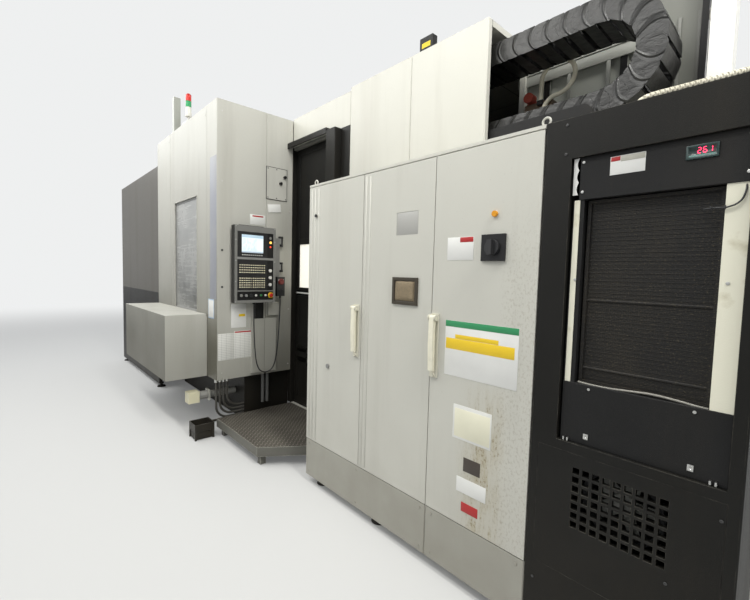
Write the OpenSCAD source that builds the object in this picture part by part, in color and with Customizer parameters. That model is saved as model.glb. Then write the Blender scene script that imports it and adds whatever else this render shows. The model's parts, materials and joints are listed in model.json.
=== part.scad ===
/* [Bays along the length] */
// Length of the pallet loading bay at the left end
pallet_bay_l = 2210; // [2000:10:2500]
// Length of the tool magazine tower
tower_l = 2000; // [1950:10:2200]
// Length of the operator's recess beside the tower
recess_l = 970; // [930:10:1100]
// Length of the operator doorway in the recess
doorway_l = 696; // [660:2:720]
// Width of the black post at the right of the doorway
jamb_w = 139; // [120:1:150]
// Length of the light access panels right of the recess
access_l = 1390; // [1340:10:1600]
// Distance from the recess to the electrical cabinet
cabinet_offset = 330; // [300:10:400]
// Length of the electrical cabinet
cabinet_l = 1770; // [1700:10:1900]
// Length of the oil chiller
chiller_l = 690; // [670:5:760]
/* [Depths] */
// Depth of the tool shelf in front of the tower
shelf_d = 391; // [300:1:450]
// How far the cabinet stands back from the tower's front
cabinet_setback = 188; // [150:1:230]
// Depth of the tower, front face to machine front
tower_d = 816; // [780:1:900]
// Depth of the machine behind its front panels
machine_d = 2393; // [2350:1:2600]
/* [Heights] */
// Gap under the covers and the cabinet
ground_gap = 60; // [40:1:80]
// Height of the plinth under the cabinet and chiller
plinth_h = 280; // [240:5:320]
// Height of the cabinet doors and chiller above the plinth
cabinet_h = 1901; // [1850:1:1960]
// Height of the tower's underside
tower_lift = 529; // [500:1:560]
// Height of the tower's shell
tower_h = 2676; // [2620:1:2760]
// Height of the tool shelf's front
shelf_h = 631; // [560:1:680]
// Height of the doorway's soffit above the floor
soffit_h = 2930; // [2890:5:2960]
// Height of the front panels above the floor
machine_h = 3250; // [3200:5:3300]
// Height of the dark covers' lower edge on the pallet bay
bay_cover_z = 1290; // [1200:5:1400]
// Height of the step platform
platform_h = 160; // [130:5:190]
// Height of the closed housing behind the cabinet
rear_h = 2450; // [2420:5:2480]
/* [Covers] */
// Thickness of a folded cover panel with its edges
wall = 40; // [34:1:46]
// Bevel on the upright edges of a cover panel
panel_bevel = 5; // [2:0.5:8]
// Gap between neighbouring cover panels
seam = 0.6; // [0.4:0.1:0.8]
/* [Tower] */
// Length of the loading window
window_l = 745; // [700:5:800]
// Height of the loading window
window_h = 1209; // [1100:5:1250]
// Distance from the tower's left side to the window
window_x = 718; // [690:2:750]
// Depth of the window's thin frame in front of the tower
window_lip = 4; // [2:1:14]
// Sheet in front of the loading door over its travel
window_sheet = 8; // [6:1:12]
// Travel of the tool loading door
tool_door_travel = 600; // [560:5:620]
/* [Control panel] */
// Width of the control panel
panel_w = 430; // [410:2:450]
// Height of the control panel
panel_h = 750; // [720:2:780]
// Depth of the control panel's case
panel_d = 80; // [60:1:100]
// Distance from the tower's side to the panel's back
panel_gap = 42; // [36:1:60]
// Radius of the swivel pin behind the panel
swivel_r = 12; // [9:0.5:14]
/* [Cabinet] */
// Thickness of a cabinet door
door_t = 23; // [20:1:26]
// Sheet of a cabinet door and the cabinet's case
door_sheet = 3; // [2:0.5:4]
// Width of the folded rim inside a cabinet door
door_rim = 26; // [24:1:32]
// Width of the left door
left_door_w = 613; // [590:1:630]
// Width of the middle door
middle_door_w = 572; // [550:1:590]
// Gap round each cabinet door
door_gap = 4; // [3:0.5:6]
// Length of a lever handle
lever_l = 285; // [260:1:310]
// Width of a lever handle
lever_w = 32; // [28:1:38]
/* [Chiller] */
// Length of the filter opening
filter_open_l = 540; // [520:2:550]
// Height of the filter opening
filter_open_h = 1140; // [1080:5:1150]
// Columns of holes in the fan grille
grille_columns = 9; // [5:1:9]
// Rows of holes in the fan grille
grille_rows = 7; // [4:1:7]
// Side of a square grille hole
grille_hole = 26; // [20:1:28]
// Distance between grille hole centres
grille_pitch = 37; // [34:0.5:39]
/* [Energy chain] */
// Bend radius of the energy chain to its pins
chain_r = 250; // [235:1:260]
// Height of a chain link
link_h = 140; // [110:1:150]
// Width of the chain over its outer plates
chain_w = 280; // [240:2:320]
// Links round the bend
bend_links = 9; // [8:1:10]
// Links in each straight run
run_links = 10; // [8:1:11]
/* [Pallets] */
// Side of a square pallet
pallet_s = 800; // [760:5:830]
// Radius of a pallet's clamping holes
clamp_hole_r = 8; // [6:0.5:12]
// Depth of a pallet's clamping holes
clamp_hole_d = 40; // [25:1:60]
// Thickness of a pallet
pallet_t = 100; // [90:1:110]
// Height of the pallets' underside
pallet_z = 1100; // [1090:1:1110]
// Distance between the clamping holes of a pallet
clamp_pitch = 640; // [600:5:660]
/* [Axes] */
// Travel of the saddle along the bed
saddle_travel = 1000; // [900:10:1050]
// Travel of the column each way across the saddle
column_travel = 420; // [380:10:430]
// Travel of the spindle head upwards
head_up = 650; // [600:10:680]
// Travel of the spindle head downwards
head_down = 330; // [300:5:335]
// Radius of the spindle
spindle_r = 90; // [80:1:100]
/* [Magazine] */
// Radius of the magazine to its tool sockets
magazine_r = 590; // [560:5:610]
// Number of tool sockets
sockets = 24; // [16:1:26]
/* [Hidden] */
$fn = 48;

run_fit = 0.05;
face_gap = 0.3;

tower_x = pallet_bay_l;
recess_x = tower_x + tower_l;
access_x = recess_x + recess_l;
access_end = access_x + access_l;
cabinet_x = access_x + cabinet_offset;
chiller_x = cabinet_x + cabinet_l;
total_l = chiller_x + chiller_l;
tower_y = shelf_d;
cabinet_y = tower_y + cabinet_setback;
machine_y = tower_y + tower_d;
total_d = machine_y + machine_d;
plinth_top = ground_gap + plinth_h;
cabinet_top = plinth_top + cabinet_h;
tower_top = tower_lift + tower_h;
shelf_top = tower_lift + shelf_h;
inner_y = machine_y + wall;

// A block between two corners, given as ranges along X, Y and Z
module block(x, y, z) {
  translate([x[0], y[0], z[0]])
    cube([x[1] - x[0], y[1] - y[0], z[1] - z[0]]);
}

// A cover panel facing the aisle, with bevelled upright edges
module front_cover(x, y, z) {
  b = panel_bevel;
  translate([0, 0, z[0]])
    linear_extrude(z[1] - z[0])
      polygon([[x[0], y[1]], [x[0], y[0] + b], [x[0] + b, y[0]], [x[1] - b, y[0]], [x[1], y[0] + b], [x[1], y[1]]]);
}

// A cover panel facing the right end, with bevelled upright edges
module side_cover(x, y, z) {
  b = panel_bevel;
  translate([0, 0, z[0]])
    linear_extrude(z[1] - z[0])
      polygon([[x[0], y[0]], [x[1] - b, y[0]], [x[1], y[0] + b], [x[1], y[1] - b], [x[1] - b, y[1]], [x[0], y[1]]]);
}

// A round bar along X, Y or Z from a point
module bar_x(p, r, l) { translate(p) rotate([0, 90, 0]) cylinder(r = r, h = l); }
module bar_y(p, r, l) { translate(p) rotate([-90, 0, 0]) cylinder(r = r, h = l); }
module bar_z(p, r, l) { translate(p) cylinder(r = r, h = l); }

// The whole machine stands centred on the origin
module place() { translate([-total_l / 2, -total_d / 2, 0]) children(); }

bed_z0 = 100;
bed_z1 = 600;
bed_x = [tower_x + 190, access_end - wall];
bed_y = [machine_y + 293, total_d - 200];
bed_rail_h = 60;
bed_rail_w = 80;
bed_rail_inset = 150;
saddle_l = 1050;
saddle_x = [bed_x[1] - 50 - saddle_l, bed_x[1] - 50];
rail_x = [saddle_x[0] - saddle_travel - 60, bed_x[1]];
rail_ys = [bed_y[0] + bed_rail_inset, bed_y[1] - bed_rail_inset - bed_rail_w];
table_c = [tower_x + 1090, machine_y + 1243];
setup_c = [pallet_bay_l / 2, table_c[1]];

// Cast bed on the floor feet, with two ground rails for the saddle
module bed_casting() color("dimgray") place() {
  pocket_l = 560;
  pocket_h = 260;
  pocket_d = 60;
  difference() {
    block(bed_x, bed_y, [bed_z0, bed_z1]);
    for (i = [0:4], side = [0, 1])
      translate([bed_x[0] + 160 + i * 800, side == 0 ? bed_y[0] - 1 : bed_y[1] - pocket_d, bed_z0 + 120])
        cube([pocket_l, pocket_d + 1, pocket_h]);
  }
  for (y = rail_ys)
    block(rail_x, [y, y + bed_rail_w], [bed_z1, bed_z1 + bed_rail_h]);
}

// Levelling feet: a pad, a screw and a nut under each corner that stands on the floor
foot_r = 55;
module foot(x, y, h) {
  pad_h = h * 0.3;
  translate([x, y, 0]) {
    cylinder(r1 = foot_r, r2 = foot_r * 0.8, h = pad_h, $fn = 40);
    translate([0, 0, pad_h]) cylinder(r = foot_r * 0.3, h = h - pad_h);
    translate([0, 0, h - pad_h]) cylinder(r = foot_r * 0.55, h = pad_h, $fn = 6);
  }
}
module levelling_feet() color([0.12, 0.12, 0.12]) place() {
  for (x = [bed_x[0] + 120, (bed_x[0] + bed_x[1]) / 2, bed_x[1] - 120], y = [bed_y[0] + 100, bed_y[1] - 100])
    foot(x, y, bed_z0);
  for (x = [cabinet_x + 120, cabinet_x + cabinet_l * 0.42, chiller_x - 150, total_l - 120])
    foot(x, cabinet_y + 90, ground_gap);
  for (x = [1.5 * wall, tower_x - 90], y = [tower_y + foot_r - 5, total_d - foot_r + 5])
    foot(x, y, ground_gap);
  for (x = [access_end + 150, total_l - 120])
    foot(x, total_d - 120, ground_gap);
}

// Stands that carry the two pallets, each with a bore for the pallet's spigot
spigot_r = 100;
spigot_l = 100;
module pallet_stands() color("dimgray") place() {
  base_s = 700;
  base_h = 100;
  stand_r = 250;
  difference() {
    union() {
      translate([setup_c[0] - base_s / 2, setup_c[1] - base_s / 2, 0])
        cube([base_s, base_s, base_h]);
      block([setup_c[0], bed_x[0]], [setup_c[1] - 150, setup_c[1] + 150], [base_h, base_h + 160]);
      bar_z([setup_c[0], setup_c[1], base_h], stand_r, pallet_z - base_h);
    }
    bar_z([setup_c[0], setup_c[1], pallet_z - spigot_l - 20], spigot_r + run_fit, spigot_l + 21);
  }
  difference() {
    union() {
      translate([table_c[0] - base_s / 2, table_c[1] - base_s / 2, bed_z1])
        cube([base_s, base_s, base_h * 1.5]);
      bar_z([table_c[0], table_c[1], bed_z1 + base_h * 1.5], stand_r * 1.3, pallet_z - bed_z1 - base_h * 1.5);
    }
    bar_z([table_c[0], table_c[1], pallet_z - spigot_l - 20], spigot_r + run_fit, spigot_l + 21);
  }
}

// Square pallet with four clamping holes, undercut edges and a spigot below
module pallet() {
  edge_cut = 24;
  difference() {
    union() {
      translate([-pallet_s / 2, -pallet_s / 2, pallet_z + edge_cut])
        cube([pallet_s, pallet_s, pallet_t - edge_cut]);
      translate([edge_cut - pallet_s / 2, edge_cut - pallet_s / 2, pallet_z])
        cube([pallet_s - 2 * edge_cut, pallet_s - 2 * edge_cut, pallet_t]);
      bar_z([0, 0, pallet_z - spigot_l], spigot_r, spigot_l + 1);
    }
    for (x = [-1, 1], y = [-1, 1])
      bar_z([x * clamp_pitch / 2, y * clamp_pitch / 2, pallet_z + pallet_t - clamp_hole_d], clamp_hole_r, clamp_hole_d + 1);
  }
}
module setup_pallet() color("silver") place() translate(setup_c) pallet();
module table_pallet() color("silver") place() translate(table_c) pallet();

// Rear wall panels and the right end wall of the machine room
chain_gap = 450;
chain_gap_y = inner_y + chain_gap;
module back_panels() color("gray") place() {
  y = [total_d - wall, total_d];
  block([2 * wall + seam, tower_x - seam], y, [ground_gap, soffit_h - wall - seam]);
  block([tower_x, recess_x - seam], y, [ground_gap, tower_top - wall - seam]);
  block([recess_x, access_end], y, [ground_gap, machine_h - wall - seam]);
  block([access_end - wall, access_end], [chain_gap_y, total_d - wall - seam], [ground_gap, machine_h - wall - seam]);
  block([access_end - wall, access_end], [inner_y + seam, chain_gap_y - seam], [ground_gap, rear_h - seam]);
}

// Roof sheets of the pallet bay and the machine room
module roof_panels() color("gray") place() {
  block([2 * wall + seam, tower_x - seam], [tower_y + wall + seam, total_d], [soffit_h - wall, soffit_h]);
  block([tower_x, recess_x - seam], [machine_y + seam, total_d], [tower_top - wall, tower_top]);
  block([recess_x, access_end], [inner_y + seam, total_d], [machine_h - wall, machine_h]);
}

// Light front panels: two tall access panels, the header over the doorway and its sill
header_drop = 30;
door_sill_z = platform_h + 20;
doorway_x = [recess_x, recess_x + doorway_l];
door_w = doorway_l + 22;
door_travel = 850;
access_seam_x = access_x + 731;
module front_panels() color("lightgray") place() {
  y = [machine_y, inner_y];
  front_cover([recess_x, access_x - seam], y, [soffit_h, machine_h - header_drop]);
  front_cover([access_x, access_seam_x - seam], y, [ground_gap, machine_h]);
  front_cover([access_seam_x, access_end], y, [ground_gap, machine_h]);
  front_cover([recess_x, doorway_x[1] - seam], y, [ground_gap, platform_h]);
}

// Black canopy lip, jambs and strip that frame the doorway, with the door's two rails
canopy_d = 70;
module door_surround() color([0.09, 0.09, 0.1]) place() {
  lip_h = 26;
  front_cover([doorway_x[1], doorway_x[1] + jamb_w], [machine_y - canopy_d, inner_y], [ground_gap, soffit_h - seam]);
  front_cover([doorway_x[1] + jamb_w + seam, access_x - seam], [machine_y, inner_y], [ground_gap, soffit_h - seam]);
  block([recess_x - 60, doorway_x[0] + 3], [machine_y + seam, inner_y + 50], [platform_h, soffit_h]);
  difference() {
    block([recess_x + seam, doorway_x[1] - seam], [machine_y - canopy_d, machine_y], [soffit_h - lip_h, soffit_h + lip_h]);
    block([recess_x, doorway_x[1]], [machine_y - canopy_d + 12, machine_y + 1], [soffit_h - lip_h - 1, soffit_h + lip_h - 8]);
  }
  block([doorway_x[0] + 4, doorway_x[0] + door_w + door_travel], [inner_y, inner_y + wall + 15],
    [ground_gap, door_sill_z]);
  block([doorway_x[0] + 4, access_x - seam], [inner_y, inner_y + wall + 15], [soffit_h, soffit_h + 30]);
}

// Sliding operator door: a black frame with a window and a handle bar
door_y = [inner_y + 6, inner_y + wall + 2];
door_x = [doorway_x[0] + 8, doorway_x[0] + 8 + door_w];
door_window_z = [1440, 1900];
door_stile = 62;
module operator_door() color([0.07, 0.07, 0.08]) place() {
  z = [door_sill_z, soffit_h - 30];
  rail_z = door_window_z[0] - 60;
  rail_r = 9;
  grip_d = 29;
  difference() {
    block(door_x, door_y, z);
    block([door_x[0] + door_stile, door_x[1] - door_stile], [door_y[0] - 1, door_y[1] + 1], door_window_z);
    for (r = [[z[0] + 60, 620], [820, rail_z - 50], [door_window_z[1] + 60, z[1] - 60]])
      block([door_x[0] + door_stile, door_x[1] - door_stile], [door_y[0] - 1, door_y[0] + 6], r);
    block([door_x[0] + 26, door_x[0] + doorway_l - 26], [door_y[0] - 1, door_y[0] + grip_d], [rail_z - 27, rail_z + 27]);
  }
  bar_x([door_x[0] + 34, door_y[0] + rail_r + 1, rail_z], rail_r, doorway_l - 68);
  for (x = [door_x[0] + 70, door_x[0] + doorway_l - 90])
    bar_y([x, door_y[0] + rail_r + 1, rail_z], rail_r * 0.8, grip_d - rail_r);
}
module door_glass() color([0.8, 0.9, 0.95, 0.4]) place()
  block([door_x[0] + door_stile, door_x[1] - door_stile], [door_y[0] + 12, door_y[0] + 20], door_window_z);

// Magazine tower in folded sheet, with the loading window and the bosses for the wheel and the arm
window_z = [shelf_top, shelf_top + window_h];
win_x = [tower_x + window_x, tower_x + window_x + window_l];
strip_x = recess_x - 253;
left_seam_x = tower_x + 556;
side_seam_y = tower_y + 509;
mag_c = [tower_x + 1090, tower_lift + 1321];
mag_shaft_r = 60;
arm_c = [mag_c[0] + 550, mag_c[1]];
arm_shaft_r = 45;
tower_z = [tower_lift, tower_top];
door_over = 28;
module tower_shell() color("lightgray") place() {
  b = panel_bevel;
  lip_w = 8;
  track_x = [win_x[0] - door_over - tool_door_travel - 12, win_x[1] + door_over + 12];
  track_z = [window_z[0] - door_over, window_z[1] + door_over];
  difference() {
    union() {
      front_cover([tower_x, left_seam_x - seam], [tower_y, tower_y + wall], tower_z);
      front_cover([left_seam_x, strip_x - seam], [tower_y, tower_y + wall], tower_z);
    }
    block(win_x, [tower_y - 1, tower_y + wall + 1], window_z);
    block(track_x, [tower_y + window_sheet, tower_y + wall + 1], track_z);
  }
  for (x = [win_x[0] - lip_w, win_x[1]])
    block([x, x + lip_w], [tower_y - window_lip, tower_y], [window_z[0], window_z[1] + lip_w]);
  block([win_x[0], win_x[1]], [tower_y - window_lip, tower_y], [window_z[1], window_z[1] + lip_w]);
  translate([0, 0, tower_lift])
    linear_extrude(tower_h)
      polygon([[strip_x, tower_y + wall], [strip_x, tower_y + b], [strip_x + b, tower_y], [recess_x - b, tower_y],
        [recess_x, tower_y + b], [recess_x, side_seam_y - b], [recess_x - b, side_seam_y],
        [recess_x - wall, side_seam_y], [recess_x - wall, tower_y + wall]]);
  side_cover([recess_x - wall, recess_x], [side_seam_y + seam, machine_y - seam], tower_z);
  block([tower_x, tower_x + wall], [tower_y + wall + seam, machine_y - wall - seam], tower_z);
  difference() {
    union() {
      block([tower_x, recess_x - wall - seam], [machine_y - wall, machine_y], tower_z);
      bar_y([mag_c[0], machine_y - wall - 67, mag_c[1]], 120, 68);
      bar_y([arm_c[0], machine_y - 1, arm_c[1]], 90, 39);
    }
    bar_y([mag_c[0], machine_y - wall - 68, mag_c[1]], mag_shaft_r + run_fit, wall + 70);
    bar_y([arm_c[0], machine_y - wall - 1, arm_c[1]], arm_shaft_r + run_fit, wall + 41);
  }
  for (z = [tower_lift, tower_top - wall])
    block([tower_x + wall + seam, recess_x - wall - seam], [tower_y + wall + seam, machine_y - wall - seam], [z, z + wall]);
  for (z = [track_z[0] - 30, track_z[1] - 12])
    block([track_x[0] - 10, track_x[1] + 10], [tower_y + wall, tower_y + wall + 12], [z, z + 42]);
}

// Shelf box in front of the loading window
shelf_x = [tower_x + 80, strip_x];
module tool_shelf() color("lightgray") place() {
  block(shelf_x, [0, tower_y - seam], [tower_lift, shelf_top - 26]);
  block([shelf_x[0] - 6, shelf_x[1]], [0, tower_y - window_lip - seam], [shelf_top - 26, shelf_top]);
}

// Sliding door behind the loading window: a thin frame round a clear pane
tool_door_y = [tower_y + window_sheet + 4, tower_y + window_sheet + 24];
module tool_door() color([0.6, 0.62, 0.62]) place() {
  frame_w = 46;
  x = [win_x[0] - door_over, win_x[1] + door_over];
  z = [window_z[0] - door_over, window_z[1] + door_over];
  difference() {
    block(x, tool_door_y, z);
    block([x[0] + frame_w, x[1] - frame_w], [tool_door_y[0] - 1, tool_door_y[0] + 5], [z[0] + frame_w, z[1] - frame_w]);
    block([x[0] + frame_w, x[1] - frame_w], [tool_door_y[0] + 11, tool_door_y[1] + 1], [z[0] + frame_w, z[1] - frame_w]);
  }
}

// Service panel high on the tower's side, with its screws and two black knobs
module service_panel() color("lightgray") place() {
  y = [machine_y - 314, machine_y - 72];
  panel_drop = 525;
  panel_l = 334;
  z = [tower_top - panel_drop - panel_l, tower_top - panel_drop];
  plate_t = 6;
  block([recess_x, recess_x + plate_t], y, z);
  for (v = [y[0] + 14, y[1] - 14], w = [z[0] + 14, z[1] - 14])
    bar_x([recess_x + plate_t, v, w], 6, 3);
  bar_x([recess_x + plate_t, y[1] - 34, z[1] - 86], 15, 24);
  bar_x([recess_x + plate_t, y[1] - 81, z[1] - 156], 15, 24);
}

// Dark base under the tower and the light lower wall of the pallet bay
module base_covers() color([0.2, 0.2, 0.2]) place() {
  block([tower_x + wall, recess_x - 60], [tower_y + 309, machine_y], [ground_gap, tower_lift]);
  front_cover([0, tower_x - seam], [tower_y, tower_y + wall], [ground_gap, bay_cover_z - seam]);
}

// Dark covers of the pallet bay, with the loading opening in the left end wall
bay_open_y = [machine_y + 793, total_d - 300];
bay_open_z = [900, 2500];
pallet_door_travel = 1250;
bay_wall_x = [wall, 2 * wall];
module bay_covers() color([0.24, 0.24, 0.25]) place() {
  track_y = [bay_open_y[0] - pallet_door_travel - 20, bay_open_y[1] + 40];
  front_cover([0, tower_x - seam], [tower_y, tower_y + wall], [bay_cover_z, soffit_h]);
  block(bay_wall_x, [tower_y + wall + seam, bay_open_y[0]], [ground_gap, soffit_h]);
  block(bay_wall_x, [bay_open_y[1], total_d], [ground_gap, soffit_h]);
  block(bay_wall_x, [bay_open_y[0] + seam, bay_open_y[1] - seam], [ground_gap, bay_open_z[0]]);
  block(bay_wall_x, [bay_open_y[0] + seam, bay_open_y[1] - seam], [bay_open_z[1], soffit_h]);
  for (z = [bay_open_z[0] - 60, bay_open_z[1] + 20])
    block([0, wall - face_gap], track_y, [z, z + 40]);
}

// Sliding door over the pallet bay's loading opening, with a window and a pull
module pallet_door() color([0.24, 0.24, 0.25]) place() {
  y = [bay_open_y[0] - 10, bay_open_y[1] + 10];
  z = [bay_open_z[0] - 20, bay_open_z[1] + 20];
  difference() {
    block([8, wall - 4], y, z);
    block([7, 18], [y[0] + 120, y[1] - 120], [z[0] + 700, z[1] - 200]);
    block([7, 12], [y[0] + 60, y[1] - 60], [z[0] + 80, z[0] + 620]);
  }
  bar_z([3, y[0] + 60, z[0] + 640], 3, 300);
  for (w = [z[0] + 660, z[0] + 900])
    bar_x([3, y[0] + 60, w], 2.5, 6);
}

// Closed housing behind the cabinet and chiller for the tank and the hydraulic unit
module rear_housing() color("gray") place() {
  block([access_end + seam, total_l], [machine_y + seam, total_d], [ground_gap, rear_h]);
}

// Servo motor under the tower: terminal box, motor, flange and the drive's housing that runs back to the base
module magazine_motor() color([0.3, 0.3, 0.3]) place() {
  axis_x = recess_x - 300;
  axis_z = tower_lift - 205;
  y0 = tower_y - 181;
  box_s = 110;
  box_l = 105;
  motor_l = 200;
  block([axis_x - box_s / 2, axis_x + box_s / 2], [y0, y0 + box_l], [axis_z - box_s / 2, axis_z + box_s / 2]);
  bar_y([axis_x, y0 + box_l - 1, axis_z], 42, motor_l - box_l + 1);
  block([axis_x - 54, axis_x + 54], [y0 + motor_l, y0 + motor_l + 14], [axis_z - 54, axis_z + 54]);
  bar_y([axis_x, y0 + motor_l + 13, axis_z], 34, tower_y + 309 - y0 - motor_l - 13);
  bar_x([axis_x - box_s / 2 - 18, y0 + 40, axis_z + 20], 14, 20);
}

// Crosses of two lines, to set an outline inwards by a distance
function edge(a, b, d) = let(v = (b - a) / norm(b - a)) [a + d * [-v[1], v[0]], v];
function meet(e, f) = let(c = e[1][0] * f[1][1] - e[1][1] * f[1][0], w = f[0] - e[0])
  e[0] + e[1] * (w[0] * f[1][1] - w[1] * f[1][0]) / c;
function inset(p, d) = let(n = len(p)) [for (i = [0:n - 1])
  meet(edge(p[(i + n - 1) % n], p[i], d), edge(p[i], p[(i + 1) % n], d))];

// Step platform in the recess: a tread plate on a deep metal rim with legs
platform_back = machine_y - canopy_d - seam;
platform_p = [[recess_x + 5, tower_y], [recess_x + 860, tower_y], [cabinet_x - 20, cabinet_y + 430],
  [cabinet_x - 20, platform_back], [doorway_x[1] - seam, platform_back], [doorway_x[1] - seam, machine_y - seam],
  [recess_x + 5, machine_y - seam]];
module step_platform() color([0.3, 0.3, 0.3]) place() {
  rim_h = 80;
  rim_t = 6;
  plate_t = 5;
  translate([0, 0, platform_h - plate_t]) linear_extrude(plate_t) polygon(platform_p);
  difference() {
    translate([0, 0, platform_h - rim_h]) linear_extrude(rim_h - plate_t) polygon(platform_p);
    translate([0, 0, platform_h - rim_h - 1]) linear_extrude(rim_h - plate_t + 1) polygon(inset(platform_p, rim_t));
  }
  for (p = inset(platform_p, 60)) translate([p[0] - 25, p[1] - 25, 0]) cube([50, 50, platform_h - plate_t]);
}

// Black drip tray on short legs at the tower's corner, with its drain pipe
tray_x = [recess_x - 115, recess_x + 50];
tray_y = [tower_y - 219, tower_y - 39];
tray_z = [80, 150];
module coolant_tray() color([0.08, 0.08, 0.08]) place() {
  t = 5;
  leg = 16;
  difference() {
    block(tray_x, tray_y, tray_z);
    block([tray_x[0] + t, tray_x[1] - t], [tray_y[0] + t, tray_y[1] - t], [tray_z[0] + t, tray_z[1] + 1]);
  }
  for (x = [tray_x[0], tray_x[1] - leg], y = [tray_y[0], tray_y[1] - leg])
    block([x, x + leg], [y, y + leg], [0, tray_z[0]]);
  bar_y([tray_x[0] + 14, tray_y[1], tray_z[0] + 26], 11, tower_y + 309 - tray_y[1]);
}

// Boxes, cable duct and conduits on the tower's side, and the swivel bracket of the control panel
pivot = [recess_x + 25, machine_y - 147];
panel_x = [recess_x + panel_gap, recess_x + panel_gap + panel_d];
panel_y = [machine_y - 262 - panel_w, machine_y - 262];
panel_z = [tower_lift + 761, tower_lift + 761 + panel_h];
ear_z = [panel_z[0] + 360, panel_z[1] - 120];
knuckle_h = 60;
ear_h = 22;
module side_fittings() color([0.45, 0.45, 0.45]) place() {
  x = recess_x;
  duct_y = [machine_y - 467, machine_y - 200];
  duct_seam = duct_y[0] + 134;
  block([x, x + 34], [duct_y[0], duct_seam - 1.5], [tower_lift + 30, panel_z[0] - 170]);
  block([x, x + 34], [duct_seam + 1.5, duct_y[1]], [tower_lift + 30, panel_z[0] - 170]);
  block([x, x + 36], [duct_y[0] + 32, duct_y[0] + 119], [panel_z[0] - 170, panel_z[0] - 8]);
  block([x, x + 38], [duct_y[0] + 175, duct_y[0] + 300], [panel_z[0] - 142, panel_z[0] - 8]);
  for (y = [duct_y[0] + 150, duct_y[0] + 200]) {
    bar_z([x - 30, y, platform_h + 60], 17, tower_lift - platform_h - 60);
  }
  for (z = ear_z, s = [-1, 1])
    translate([0, 0, z + s * (knuckle_h + ear_h) / 2 - ear_h / 2]) difference() {
      linear_extrude(ear_h) union() {
        translate(pivot) circle(r = 21);
        translate([x, pivot[1] - 21]) square([pivot[0] - x, 42]);
      }
      bar_z([pivot[0], pivot[1], -1], swivel_r, ear_h + 2);
    }
  for (z = ear_z)
    bar_z([pivot[0], pivot[1], z - knuckle_h / 2 - ear_h], swivel_r, knuckle_h + 2 * ear_h);
}

// Square post and stacked signal lamp on the tower's roof
module signal_mast() color([0.7, 0.7, 0.68]) place() {
  post = [tower_x + 420, tower_y + 60];
  lamp = [tower_x + 930, tower_y + 90];
  lens_r = 30;
  lens_h = 62;
  block([post[0], post[0] + 76], [post[1], post[1] + 76], [tower_top, tower_top + 475]);
  block([post[0] - 30, post[0] + 106], [post[1] - 20, post[1] + 96], [tower_top, tower_top + 8]);
  block([lamp[0] - 75, lamp[0] + 75], [lamp[1] - 45, lamp[1] + 45], [tower_top, tower_top + 60]);
  bar_z([lamp[0], lamp[1], tower_top + 60], 11, 70);
  bar_z([lamp[0], lamp[1], tower_top + 130], lens_r + 4, 40);
  for (i = [0:2])
    translate([lamp[0], lamp[1], tower_top + 170 + i * (lens_h + 4)]) {
      cylinder(r = lens_r, h = lens_h);
      translate([0, 0, lens_h]) cylinder(r = lens_r - 4, h = 4);
    }
  translate([lamp[0], lamp[1], tower_top + 170 + 3 * (lens_h + 4)]) cylinder(r1 = lens_r, r2 = lens_r * 0.6, h = 14);
}

// Electrical cabinet: an open-fronted case with a mounting plate, and pins that the doors hang on
lip_t = 16;
door_y0 = cabinet_y;
case_y = cabinet_y + door_t + 10;
hinge_in = [17, door_t / 2];
hinge_r = 5;
door_z = [plinth_top + door_gap, cabinet_top - lip_t - door_gap];
left_door_x = [cabinet_x + 2, cabinet_x + 2 + left_door_w];
middle_door_x = [left_door_x[1] + door_gap, left_door_x[1] + door_gap + middle_door_w];
right_door_x = [middle_door_x[1] + door_gap, chiller_x - door_gap];
hinges = [[left_door_x[0] + hinge_in[0], door_y0 + hinge_in[1]], [middle_door_x[0] + hinge_in[0], door_y0 + hinge_in[1]],
  [right_door_x[1] - hinge_in[0], door_y0 + hinge_in[1]]];
module cabinet_case() color("lightgray") place() {
  case_t = 24;
  rail_w = 46;
  difference() {
    block([cabinet_x, chiller_x - seam], [case_y, machine_y], [plinth_top, cabinet_top - lip_t]);
    block([cabinet_x + case_t, chiller_x - case_t], [case_y - 1, machine_y - case_t],
      [plinth_top + case_t, cabinet_top - lip_t - case_t]);
  }
  for (x = [middle_door_x[0] - door_gap / 2, right_door_x[0] - door_gap / 2])
    block([x - rail_w / 2, x + rail_w / 2], [case_y, case_y + 30], [plinth_top + case_t, cabinet_top - lip_t - case_t]);
  block([cabinet_x, chiller_x - seam], [door_y0, machine_y], [cabinet_top - lip_t, cabinet_top]);
  for (h = hinges)
    bar_z([h[0], h[1], door_z[1] - 24], hinge_r, cabinet_top - lip_t - door_z[1] + 24);
  block([cabinet_x + 90, chiller_x - 90], [machine_y - case_t - 50, machine_y - case_t], [plinth_top + 120, cabinet_top - 150]);
  for (i = [0:5], j = [0:3])
    translate([cabinet_x + 150 + i * 255, machine_y - case_t - 170, plinth_top + 200 + j * 380])
      cube([i % 2 == 0 ? 190 : 130, 120, j == 0 ? 240 : 160]);
  for (x = [cabinet_x + 20, chiller_x - 20])
    translate([x, door_y0 + 40, cabinet_top + face_gap]) {
      cylinder(r = 12, h = 8);
      translate([0, 4, 26]) rotate([90, 0, 0]) rotate_extrude() translate([17, 0]) circle(r = 4.5);
    }
}
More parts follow.
